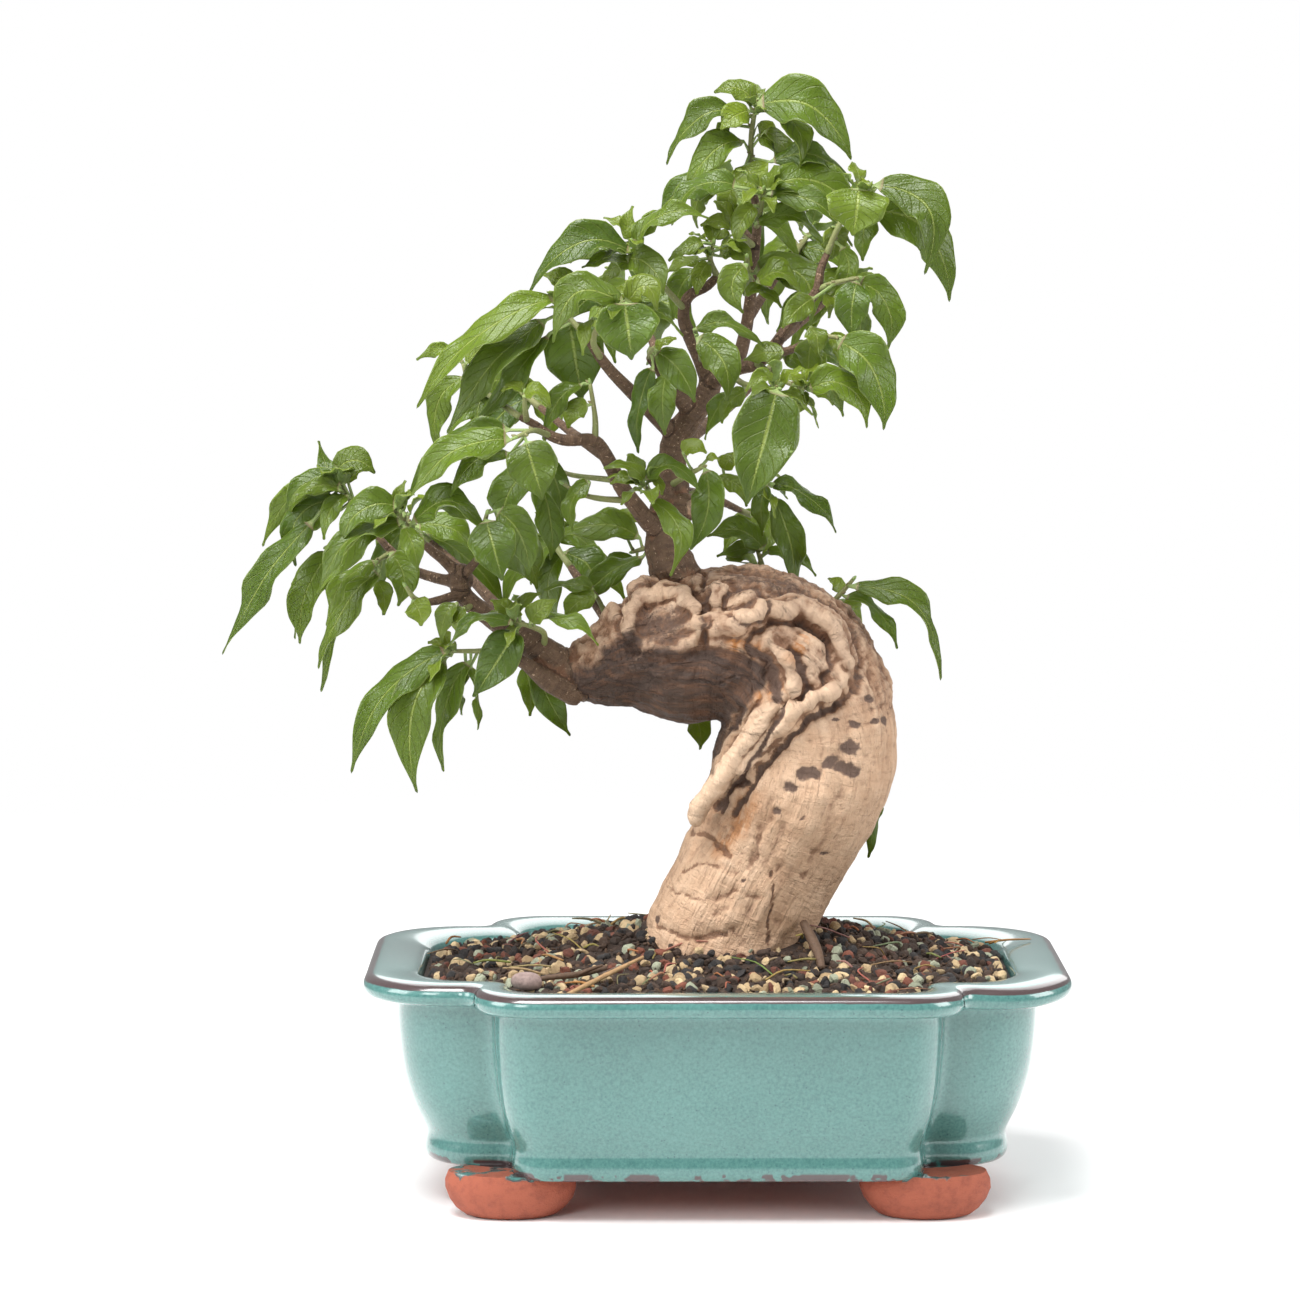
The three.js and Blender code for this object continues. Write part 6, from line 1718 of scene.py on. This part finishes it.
    @staticmethod
    def swelling(
        places: np.ndarray, grain: np.ndarray, radius: np.ndarray, gnarled: np.ndarray
    ) -> np.ndarray:
        """How far the wood's own swellings, wrinkles and ridges move each point out.

        Args:
            places: the skin's points, in millimetres.
            grain: their straightened coordinates.
            radius: their limbs' radii.
            gnarled: how gnarled the wood is there, from 0 to 1.

        Returns:
            One distance for each point, in millimetres.
        """
        thick = smooth_step(radius, 3.0, 14.0)
        push = thick * (0.75 * relief(places, 15.0, 2) + 0.3 * relief(grain * (1, 1, 0.3), 4.0, 2, 9.0))
        push += 0.2 * relief(grain * (0.5, 0.5, 1), 2.4, 2, 3.0) * smooth_step(radius, 1.0, 6.0)
        ridges = 1 - 2.2 * np.abs(relief(grain * (1, 1, 0.45), 7.0, 2, 5.0))
        lumps = 0.8 * gnarled * relief(places, 4.5, 3, 7.0)
        return push + ((0.12 + 0.9 * gnarled) * 0.9 * thick * (ridges - 0.4) + lumps)

    @staticmethod
    def carve(
        push: np.ndarray, places: np.ndarray, facing: np.ndarray, thick: np.ndarray
    ) -> dict[Tone, np.ndarray]:
        """Carve the marks and scars of the trunk's front.

        Args:
            push: how far each point moves out, in millimetres. The marks are added to it.
            places: the skin's points, in millimetres.
            facing: how far each point faces the front, from -1 to 1.
            thick: how much of a mark each point's limb takes, from 0 to 1.

        Returns:
            How much each point has of each tone.
        """
        x, z = as_seen(places)
        x = x + 1.5 * relief(places, 6.0, 3, 21.0)
        z = z + 1.5 * relief(places, 6.0, 3, 31.0)
        front = smooth_step(facing, -0.1, 0.4) * thick
        around = smooth_step(facing, -0.85, -0.2) * thick
        tones = {tone: np.zeros(len(places)) for tone in Tone}
        for mark in MARKS:
            share = mark.share(x, z) * (around if mark.tone == Tone.CHAR else front)
            push += mark.height * share
            tones[mark.tone] = np.maximum(tones[mark.tone], mark.strength * share)
        for mid_x, mid_z, half_x, half_z in SCARS:
            share = np.exp(-(((x - mid_x) / half_x) ** 2 + ((z - mid_z) / half_z) ** 2) ** 1.5) * front
            push -= 0.35 * share
            tones[Tone.DARK] = np.maximum(tones[Tone.DARK], share)
        return tones

    def hollows(self, places: np.ndarray, edges: np.ndarray, normals: np.ndarray) -> np.ndarray:
        """How far each point lies in a fine or a wide hollow, or on a ridge where negative: the bark paints
        shade in hollows and a highlight on ridges from it.
        """
        even = places
        depths = []
        for rounds, full_depth in ((3, 0.12), (22, 0.7)):
            for _ in range(rounds):
                even = self.evened(even, edges)
            depths.append(np.sum((even - places) * normals, axis=1) / full_depth)
        return np.column_stack((*depths, np.zeros(len(places))))

    @staticmethod
    def write(mesh: bpy.types.Mesh, places: np.ndarray) -> None:
        """Put the points, in millimetres, into the mesh."""
        mesh.vertices.foreach_set("co", (places * MM + ORIGIN).ravel())
        mesh.update()

    @staticmethod
    def store(mesh: bpy.types.Mesh, name: str, values: np.ndarray) -> None:
        """Store three numbers for each point of a mesh."""
        layer = mesh.attributes.new(name, "FLOAT_VECTOR", "POINT")
        layer.data.foreach_set("vector", values.astype(np.float32).ravel())


@dataclass(frozen=True)
class LeafSkin:
    """Green upper side with a pale midrib, veins and margin, soft lighter patches of painted sheen, and a paler
    underside. Light shines through.
    """

    name: str = "leaf"
    green: Colour = (0.078, 0.14, 0.01, 1.0)
    fresh: Colour = (0.22, 0.28, 0.022, 1.0)
    deep: Colour = (0.02, 0.05, 0.007, 1.0)
    under: Colour = (0.16, 0.23, 0.07, 1.0)
    vein: Colour = (0.36, 0.42, 0.1, 1.0)
    painted_sheen: Colour = (0.11, 0.16, 0.035, 1.0)
    glow: Colour = (0.5, 0.62, 0.03, 1.0)
    laterals: float = 8.0

    def material(self) -> bpy.types.Material:
        """Build the material. The mesh's trait holds a random number, the leaf's youth and its upper side."""
        paint = Paint(self.name)
        chance, youth, upper = paint.parts("trait")
        flat = paint.link("ShaderNodeUVMap", {"uv_map": "along"})
        split = paint.node("ShaderNodeSeparateXYZ", None, {0: flat})
        across, along = Link(paint, split.outputs[0]), Link(paint, split.outputs[1])
        off = (across - 0.5).size() * 2.0
        curve = along - off * 0.2 - off * off * 0.06
        near = ((curve * self.laterals).fraction() - 0.5).size()
        inside = 1 - off.rise(0.8, 0.97)
        lateral = near.rise(0.42, 0.5) * inside
        midrib = 1 - off.rise(0.02, 0.08)
        margin = off.rise(0.93, 0.985)
        mottle = paint.cloud(3.5, 4.0, 0.6)
        cells = paint.cells(1.1, "DISTANCE_TO_EDGE")
        top = paint.mix((mottle * 0.8 + chance * 0.9 - 0.35).clip(), self.deep, self.green)
        top = paint.mix((youth * 0.85 + chance * 0.12).clip(), top, self.fresh)
        # Painted sheen: soft lighter patches on the upper side stand for gloss
        top = paint.mix(paint.cloud(9.0, 2.0).rise(0.4, 0.75) * 0.3, top, self.painted_sheen)
        side = paint.mix(upper, self.under, top)
        net = (1 - cells.rise(0.0, 0.12)) * 0.16
        lines = (midrib * 0.6 + lateral * 0.24 + net * 0.6 + margin * 0.7).clip()
        colour = paint.mix(lines * 0.75, side, self.vein)
        swell = 1 - lateral * 0.8 - midrib * 0.6
        normal = paint.bump(swell, 0.55, 0.8)
        normal = paint.bump(cells.rise(0.0, 0.3), 0.12, 0.5, normal)
        gloss = paint.principled({
            "Base Color": colour, "Roughness": mottle * 0.2 + 0.22, "Normal": normal,
            "Specular IOR Level": 0.4,
        })
        shine = paint.link("ShaderNodeBsdfTranslucent", None, {"Color": self.glow})
        shader = paint.link("ShaderNodeMixShader", None, {0: 0.3 - lines * 0.12, 1: gloss, 2: shine})
        return paint.finish(shader)


@dataclass(frozen=True)
class StemSkin:
    """Green to brown young stems and leaf stalks with fine pores."""

    green: Colour = (0.2, 0.29, 0.08, 1.0)
    brown: Colour = (0.16, 0.1, 0.05, 1.0)

    def material(self) -> bpy.types.Material:
        """Build the material. The trait's middle number is how green the stem is."""
        paint = Paint("young_stem")
        _, youth, _ = paint.parts("trait")
        pores = paint.cloud(0.7, 3.0, 0.65)
        drift = paint.cloud(5.0, 2.0)
        colour = paint.mix((youth * 1.2 + drift * 0.6 - 0.35).clip(), self.brown, self.green)
        colour = paint.mix(pores.rise(0.58, 0.7) * 0.5, colour, (0.5, 0.42, 0.24, 1.0))
        shader = paint.principled({
            "Base Color": colour, "Roughness": pores * 0.2 + 0.5, "Normal": paint.bump(pores, 0.2, 0.6),
        })
        return paint.finish(shader)


@dataclass(frozen=True)
class LeafPose:
    """Where one leaf lies: the ends and bend of its midrib, the way it faces and its size."""

    root: np.ndarray
    base: np.ndarray
    bend: np.ndarray
    tip: np.ndarray
    face: np.ndarray
    length: float
    half_width: float
    phase: float

    def midrib(self, t: float) -> np.ndarray:
        """A point of the midrib at the share t of its length."""
        return (1 - t) ** 2 * self.base + 2 * t * (1 - t) * self.bend + t * t * self.tip

    def way(self, t: float) -> np.ndarray:
        """The midrib's direction at the share t."""
        return unit(2 * (1 - t) * (self.bend - self.base) + 2 * t * (self.tip - self.bend))

    def axes(self, way: np.ndarray) -> tuple[np.ndarray, np.ndarray]:
        """The directions across the blade and out of its upper side, where the midrib runs along way."""
        normal = unit(self.face - way * (self.face @ way))
        return np.cross(way, normal), normal

    def waves(self, t: float, height: float) -> tuple[float, float]:
        """How high the left and the right margin lie at the share t, for waves of some height."""
        return height * math.sin(9 * t + self.phase), height * math.sin(10 * t + self.phase + 1)

    @property
    def highest_wave(self) -> float:
        """The height of the solid leaf's waves where it is widest."""
        return min(WAVE * self.length, HIGHEST_WAVE)


BELLY = 0.42
BULGE = 0.1
WAVE = 0.05
HIGHEST_WAVE = 1.2
# The fine blade is fuller towards its tip than the solid one
FULLER = 1.1
FOLD = 0.1
LEAF_TURN = 2.4
# A blade's section: where its points lie across it, and above or below it, each from -1 to 1
AROUND = 12
TURNS = (np.arange(AROUND) + 0.5) * 2 * math.pi / AROUND
ACROSS = np.sign(np.cos(TURNS)) * np.abs(np.cos(TURNS)) ** 0.72
UP = np.sign(np.sin(TURNS)) * np.abs(np.sin(TURNS)) ** 0.6
# The fine blade's waves are this much higher than the solid one's
WAVIER = 2.2
# The first part of a blade, as a share of its length, is stalk
STALK_END = 0.03
# A shoot with this many leaves ends in a tuft of young ones
FULL_SHOOT = 5
TUFT_LEAVES = 5
STOPS_BY_LENGTH = ((31, (0.03, 0.2, 0.44, 0.72)), (13, (0.03, 0.3, 0.64)), (0, (0.03, 0.42)))


def blade_share(t: float) -> float:
    """The blade's width at the share t of its length, as a share of its greatest."""
    return math.sin(math.pi * t ** 0.62) ** (0.75 if t < 0.33 else 1.15)


def full_share(t: float) -> float:
    """The fine blade's width at the share t of its length, as a share of its greatest."""
    drawn_out = 0.8 + 0.6 * max(0.0, (t - 0.6) / 0.4)
    return math.sin(math.pi * t ** 0.68) ** drawn_out if 0 < t < 1 else 0.0


def in_dense(x: float, z: float) -> bool:
    """Whether a place that is seen at (x, z) lies in a dense part of the crown."""
    return any(
        ((x - mid_x) / half_x) ** 2 + ((z - mid_z) / half_z) ** 2 < 1
        for mid_x, mid_z, half_x, half_z in DENSE
    )


@dataclass
class LeafyShoot:
    """One leafy shoot: its stem and its leaves, each where the solid's leaf is."""

    name: str
    plan: ShootPlan
    number: int
    pushes: list[tuple[float, float]]

    @staticmethod
    def all_pushes() -> list[tuple[float, float]]:
        """The ways that a leaf may be moved to lie free: (forwards or back, more lean), smallest first."""
        pushes = []
        for base in (0, -2.5, 2.5, -5, 5):
            for step in range(10):
                lean = 0.13 * math.ceil(step / 2) * (1 if step % 2 else -1)
                pushes.append((base, lean))
        return sorted(pushes, key=lambda push: abs(push[1]) + abs(push[0]) / 12)

    def line(self) -> np.ndarray:
        """The stem's stops."""
        return np.array([seen(x, z, y) for x, z, y in self.plan.stem])

    def roots(self) -> list[np.ndarray]:
        """Where each leaf's stalk leaves the stem."""
        line = self.line()
        spots = []
        for i, (start, end) in enumerate(zip(line, line[1:])):
            spots.extend(start + (end - start) * step / 10 for step in range(8 if i == 0 else 0, 11))
        spots = np.array(spots)
        spot_x, spot_z = as_seen(spots)
        used: list[np.ndarray] = []
        for row in self.plan.leaves:
            crowding = np.zeros(len(spots))
            for root in used:
                crowding += np.maximum(0, 1 - np.linalg.norm(spots - root, axis=1) / 1.7)
            cost = np.hypot(spot_x - row[0], spot_z - row[1]) + 10 * crowding
            used.append(spots[int(np.argmin(cost))])
        return used

    @staticmethod
    def pose(row: Row, root: np.ndarray, push: tuple[float, float], phase: float) -> LeafPose:
        """Work out where a leaf lies.

        Args:
            row: the leaf's row of numbers.
            root: where its stalk leaves the stem.
            push: how it is moved to lie free.
            phase: where its waves start.

        Returns:
            The pose.
        """
        base_x, base_z, tip_x, tip_z, width, bow, roll, lean = row
        length = math.hypot(tip_x - base_x, tip_z - base_z)
        base_y = root[1] + 4 * lean + push[0]
        base = seen(base_x, base_z, base_y)
        tip = seen(tip_x, tip_z, base_y + (lean + push[1]) * length)
        lift = unit(np.array((-(tip_z - base_z), 0.0, tip_x - base_x)))
        if tip_x < base_x:
            lift = -lift
        cos, sin = math.cos(math.radians(roll)), math.sin(math.radians(roll))
        face = lift * cos + FRONT * sin
        bend = base + BELLY * (tip - base) + 2 * bow * lift + 2 * BULGE * length * sin * FRONT
        return LeafPose(root, base, bend, tip, face, length, width / max(sin, 0.6) / 2, phase)

    @staticmethod
    def corners(pose: LeafPose) -> np.ndarray:
        """The points that the solid's leaf has for a pose: its tip and the edges of its blade."""
        stops = next(stops for longest, stops in STOPS_BY_LENGTH if pose.length > longest)
        points = [pose.tip]
        for t in stops[1:]:
            at, share = pose.midrib(t), blade_share(t)
            side, normal = pose.axes(pose.way(t))
            half = max(share * pose.half_width, 0.7)
            left, right = pose.waves(t, pose.highest_wave * share)
            points.append(at + side * half + normal * (FOLD * half + left))
            points.append(at - side * half + normal * (FOLD * half + right))
        return np.array(points)

    def poses(self) -> list[LeafPose]:
        """Choose for each leaf the push whose corners lie on the solid."""
        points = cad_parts[self.name].data.vertices
        tree = finder([(np.array(point.co) - ORIGIN) / MM for point in points])
        chosen = []
        for index, (row, root) in enumerate(zip(self.plan.leaves, self.roots())):
            phase = LEAF_TURN * index + self.number
            options = [self.pose(row, root, push, phase) for push in self.pushes]
            misses = [np.mean([tree.find(point)[2] for point in self.corners(option)]) for option in options]
            chosen.append(options[int(np.argmin(misses))])
        return chosen

    def blade(self, shape: Shape, pose: LeafPose, picks: random.Random) -> None:
        """Add one leaf with its stalk.

        Args:
            shape: what it is added to.
            pose: where it lies.
            picks: the random draws.
        """
        stations = 10 if pose.length < 12 else 15 if pose.length < 26 else 20
        blade_t = [0.0, STALK_END, 0.055, *(0.09 + 0.895 * np.linspace(0, 1, stations) ** 0.95)]
        youth = float(np.clip((17 - pose.length) / 14, 0, 1)) * 0.8 + picks.uniform(0, 0.25)
        chance = picks.random()
        twist, curl = picks.uniform(-0.5, 0.5), picks.uniform(0.8, 4.0)
        rings, traits, flats, slots = [], [], [], []
        stalk = [(pose.root + (pose.base - pose.root) * share, 0.0, share) for share in (0.0, 0.35, 0.7)]
        start_way = unit(pose.base - pose.root + 1e-6 * pose.way(0))
        for at, t, share in [*stalk, *((pose.midrib(t), t, 1.0) for t in blade_t)]:
            way = unit(start_way * (1 - share) + pose.way(t) * (0.02 + share))
            width_share = full_share(t - 0.02) if share == 1.0 and t > 0.02 else 0.0
            rings.append(self.section(pose, at, way, t, width_share, twist, curl))
            green = youth if t > STALK_END else 0.75
            traits.append(np.column_stack((np.full(AROUND, chance), np.full(AROUND, green), UP > 0)))
            flats.append(np.column_stack((0.5 + 0.5 * ACROSS, np.full(AROUND, t))))
            slots.append(1 if t <= STALK_END else 0)
        shape.loft(np.array(rings), np.array(traits), np.array(flats), slots[:-1], (pose.root, pose.tip))

    @staticmethod
    def section(
        pose: LeafPose, at: np.ndarray, way: np.ndarray, t: float, width_share: float, twist: float, curl: float
    ) -> np.ndarray:
        """One ring of a blade, around its midrib.

        Args:
            pose: where the leaf lies.
            at: the midrib's place.
            way: the midrib's direction.
            t: the share of the midrib's length.
            width_share: the blade's width as a share of its greatest, 0 on the stalk.
            twist: how far the whole blade turns about its midrib, in radians.
            curl: how far its margins fold up.

        Returns:
            One row of x, y, z for each point.
        """
        side, normal = pose.axes(way)
        half = max(width_share * pose.half_width * FULLER, 0.45)
        thick = 0.5 - 0.32 * min(1.0, width_share * 2.5)
        if t > 0.9:
            half, thick = min(half, 0.5 + (1 - t) * 8), 0.16
        lean = twist * (t - 0.4)
        cos, sin = math.cos(lean), math.sin(lean)
        side, normal = side * cos + normal * sin, normal * cos - side * sin
        left, right = pose.waves(t, WAVIER * pose.highest_wave * width_share)
        edge = np.where(ACROSS > 0, left, right) * np.abs(ACROSS) ** 1.7
        frill = min(0.022 * pose.length, 0.75) * width_share * np.abs(ACROSS) ** 4
        frill = frill * np.sin(26 * t + pose.phase * 3 + np.sign(ACROSS) * 1.3)
        fold = FOLD * half * np.abs(ACROSS) ** 1.3 * curl
        groove = -0.22 * np.exp(-(ACROSS / 0.12) ** 2) * (UP > 0) * min(1.0, width_share * 3)
        lobe = 1 + 0.035 * np.sin(17 * t + pose.phase) * width_share
        offset = fold + edge + frill + UP * thick + groove
        return at + np.outer(ACROSS * half * lobe, side) + np.outer(offset, normal)

    def build(self, materials: list[bpy.types.Material]) -> bpy.types.Object:
        """Build the stem and its leaves as one piece.

        Args:
            materials: the leaf's and the stem's.

        Returns:
            The finished shoot.
        """
        picks = random.Random(self.number + 50)
        shape = Shape()
        line = self.line()
        thick = np.linspace(1.05, 0.6, len(line))
        shape.tube(np.column_stack((line, thick)), 9, 5, 1, (0.5, 0.45, 0.0), 0.1)
        end = line[-1] + unit(line[-1] - line[-2]) * 1.6
        point = np.array([(*line[-1], 0.6), (*(line[-1] * 0.4 + end * 0.6), 0.55), (*end, 0.18)])
        shape.tube(point, 7, 2, 1, (0.5, 1.0, 0.0))
        for pose in self.poses():
            self.blade(shape, pose, picks)
            self.bud(shape, pose)
        if len(self.plan.leaves) >= FULL_SHOOT:
            for pose in self.tuft(line, picks):
                self.blade(shape, pose, picks)
        piece = shape.to_object(f"leafy_{self.name}", materials)
        return settle(piece, "foliage", self.name)

    def tuft(self, line: np.ndarray, picks: random.Random) -> list[LeafPose]:
        """The youngest leaves, close around the end of the stem.

        Args:
            line: the stem's stops.
            picks: the random draws.

        Returns:
            Their poses.
        """
        poses = []
        way = unit(line[-1] - line[-2])
        aside = unit(np.cross(way, np.array((0.31, 0.2, 0.93))))
        start = picks.uniform(0, 2 * math.pi)
        for index in range(TUFT_LEAVES):
            turn = start + LEAF_TURN * index
            out = aside * math.cos(turn) + np.cross(way, aside) * math.sin(turn)
            length = picks.uniform(6.5, 12.0)
            ahead = unit(way * 0.55 + out + np.array((0.0, 0.0, 0.25)))
            base = line[-1] - way * 0.7 * index + out * 1.8
            tip = base + ahead * length - np.array((0.0, 0.0, 0.3 * length))
            bend = base + ahead * 0.5 * length + np.array((0.0, 0.0, 0.1 * length))
            face = unit(np.array((0.0, 0.0, 1.0)) + 0.5 * way)
            root = line[-1] - way * (0.7 * index + 0.6)
            poses.append(LeafPose(root, base, bend, tip, face, length, 0.23 * length, turn))
        return poses

    @staticmethod
    def bud(shape: Shape, pose: LeafPose) -> None:
        """Add the small orange-green bud between a leaf's stalk and the stem."""
        way = unit(unit(pose.base - pose.root + 1e-6 * pose.way(0)) + np.array((0, 0, 0.8)))
        sizes = ((0.1, 0.55), (0.8, 0.62), (1.7, 0.2))
        stops = [(*(pose.root + way * step), radius) for step, radius in sizes]
        shape.tube(np.array(stops), 6, 2, 1, (0.5, 0.3, 0.0))


@dataclass
class Crown:
    """All leafy shoots, on the front and on the far side of the tree."""

    seed: int = 101
    leaves_each: int = 6

    def far_shoot(self, rows: Rows, index: int) -> ShootPlan:
        """Work out the shoot at the end of a far twig.

        Args:
            rows: the twig's stops.
            index: its number, which seeds its draws.

        Returns:
            The shoot's plan.
        """
        draw = drawer(self.seed + index)
        from_x, from_z, from_y, _ = rows[-2]
        x, z, y, _ = rows[-1]
        stem = [
            (x, z, y), (x + 0.7 * (x - from_x), z + 0.7 * (z - from_z), y + 0.6 * (y - from_y)),
            (2 * x - from_x + 1, z + 1.1 * (z - from_z), y + (y - from_y)),
        ]
        leaves: Rows = []
        for trial in range(60):
            if len(leaves) == self.leaves_each:
                break
            share = 0.15 + 0.85 * draw()
            base_x = stem[0][0] + (stem[2][0] - stem[0][0]) * share
            base_z = stem[0][1] + (stem[2][1] - stem[0][1]) * share
            turn = trial * LEAF_TURN + draw()
            length = 20 + 14 * draw()
            drop = 0.35 + 0.5 * draw()
            tip_x, tip_z = base_x + 0.8 * length * math.cos(turn), base_z - drop * length
            width, roll = 5.5 + 3.5 * draw(), 45 + 35 * draw()
            lean = 0.55 * math.sin(turn) + 0.15
            crowded = any(math.hypot(leaf[2] - tip_x, leaf[3] - tip_z) < 8 for leaf in leaves)
            if not crowded and in_dense(base_x, base_z) and in_dense(tip_x, tip_z):
                leaves.append((base_x, base_z, tip_x, tip_z, width, 4, roll, lean))
        return ShootPlan(stem, leaves)

    def build(self) -> list[bpy.types.Object]:
        """Build every shoot.

        Returns:
            The finished shoots.
        """
        plans = dict(SHOOTS)
        for index, rows in enumerate(BACK_TWIGS):
            plans[f"back_shoot_{index + 1}"] = self.far_shoot(rows, index)
        materials = [LeafSkin().material(), StemSkin().material()]
        pushes = LeafyShoot.all_pushes()
        pieces = []
        for number, (name, plan) in enumerate(plans.items()):
            placed = plan if plan.on_trunk else ShootPlan(deepen(plan.stem), plan.leaves)
            pieces.append(LeafyShoot(name, placed, number, pushes).build(materials))
        return pieces


@dataclass(frozen=True)
class Drainage:
    """The finish of the two meshes over the drainage holes."""

    sides: tuple[str, ...] = ("left", "right")

    def dress(self) -> None:
        """Give the solid meshes their material."""
        woven = Gauze().material()
        for side in self.sides:
            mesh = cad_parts[f"drainage_mesh_{side}"].data
            mesh.materials.clear()
            mesh.materials.append(woven)
            LOG.info("drainage_mesh_%s: dressed", side)


# The height that the lights face
TREE_MIDDLE = 0.15
# Each light's name, place, width and power
SOFT_LIGHTS = (
    ("top_soft", (-0.2, -0.35, 1.1), 0.55, 17.0),
    ("left_soft", (-1.0, -0.35, 0.55), 0.6, 8.0),
    ("right_soft", (1.05, -0.2, 0.5), 0.6, 8.0),
    ("back_soft", (0.15, 0.95, 0.75), 0.9, 5.0),
    ("front_soft", (-0.6, -1.3, 0.75), 0.5, 7.0),
)


@dataclass
class Studio:
    """Plain white floor and world, soft lights and the camera."""

    camera_at: tuple[float, float, float] = (-0.020, -1.300, 0.288)
    tilt: float = 84.5
    lens: float = 120.0

    @staticmethod
    def floor() -> None:
        """Lay a pale floor that fades into the white world."""
        bpy.ops.mesh.primitive_circle_add(vertices=96, radius=2.4, fill_type="NGON")
        floor = bpy.context.object
        floor.name = "pale_floor"
        paint = Paint("pale_floor")
        away = paint.link("ShaderNodeVectorMath", {"operation": "LENGTH"}, {0: paint.place}, output="Value")
        soft = paint.cloud(400.0, 2.0)
        colour = paint.mix(soft, (0.93, 0.93, 0.93, 1.0), (0.96, 0.96, 0.96, 1.0))
        matt = paint.principled({"Base Color": colour, "Roughness": 0.6})
        clear = paint.link("ShaderNodeBsdfTransparent")
        fade = away.rise(0.25, 0.95)
        blend = paint.link("ShaderNodeMixShader", None, {0: fade, 1: matt, 2: clear})
        floor.data.materials.append(paint.finish(blend))

    @staticmethod
    def world() -> None:
        """Make a white world, dimmer as a light than as a backdrop."""
        world = bpy.data.worlds.new("white")
        world.use_nodes = True
        world.node_tree.nodes.clear()
        tree = Tree(world.node_tree)
        path = tree.link("ShaderNodeLightPath", output="Is Camera Ray")
        light, backdrop = (
            tree.link("ShaderNodeBackground", None, {"Color": (1, 1, 1, 1), "Strength": strength})
            for strength in (0.34, 1.0)
        )
        mixed = tree.link("ShaderNodeMixShader", None, {0: path, 1: light, 2: backdrop})
        tree.node("ShaderNodeOutputWorld", None, {"Surface": mixed})
        bpy.context.scene.world = world

    @staticmethod
    def light(name: str, place: tuple[float, float, float], size: float, power: float) -> None:
        """Hang an area light that faces the tree."""
        lamp = bpy.data.lights.new(name, "AREA")
        lamp.shape, lamp.size, lamp.energy = "SQUARE", size, power
        holder = bpy.data.objects.new(name, lamp)
        holder.location = place
        from_tree = Vector(place) - Vector((ORIGIN[0], 0, TREE_MIDDLE))
        holder.rotation_euler = from_tree.to_track_quat("Z", "Y").to_euler()
        bpy.context.scene.collection.objects.link(holder)

    def camera(self) -> None:
        """Set the camera where the photograph was taken from."""
        data = bpy.data.cameras.new("view")
        data.lens, data.sensor_width, data.clip_start = self.lens, 36.0, 0.01
        holder = bpy.data.objects.new("view", data)
        holder.location = ORIGIN + self.camera_at
        holder.rotation_euler = (math.radians(self.tilt), 0.0, 0.0)
        bpy.context.scene.collection.objects.link(holder)
        bpy.context.scene.camera = holder

    def build(self) -> None:
        """Set up the floor, world, lights and camera."""
        self.floor()
        self.world()
        for name, place, size, power in SOFT_LIGHTS:
            self.light(name, place, size, power)
        self.camera()
        bpy.context.scene.view_settings.view_transform = "Standard"
        bpy.context.scene.view_settings.look = "None"


def main() -> None:
    """Build the whole tree, piece by piece, and its studio."""
    logging.basicConfig(level=logging.INFO, format="%(message)s")
    pot = Pot()
    pot.build()
    Drainage().dress()
    Soil(pot).build()
    Trunk().build()
    shoots = Crown().build()
    LOG.info("%d leafy shoots", len(shoots))
    Studio().build()


if __name__ == "__main__":
    main()
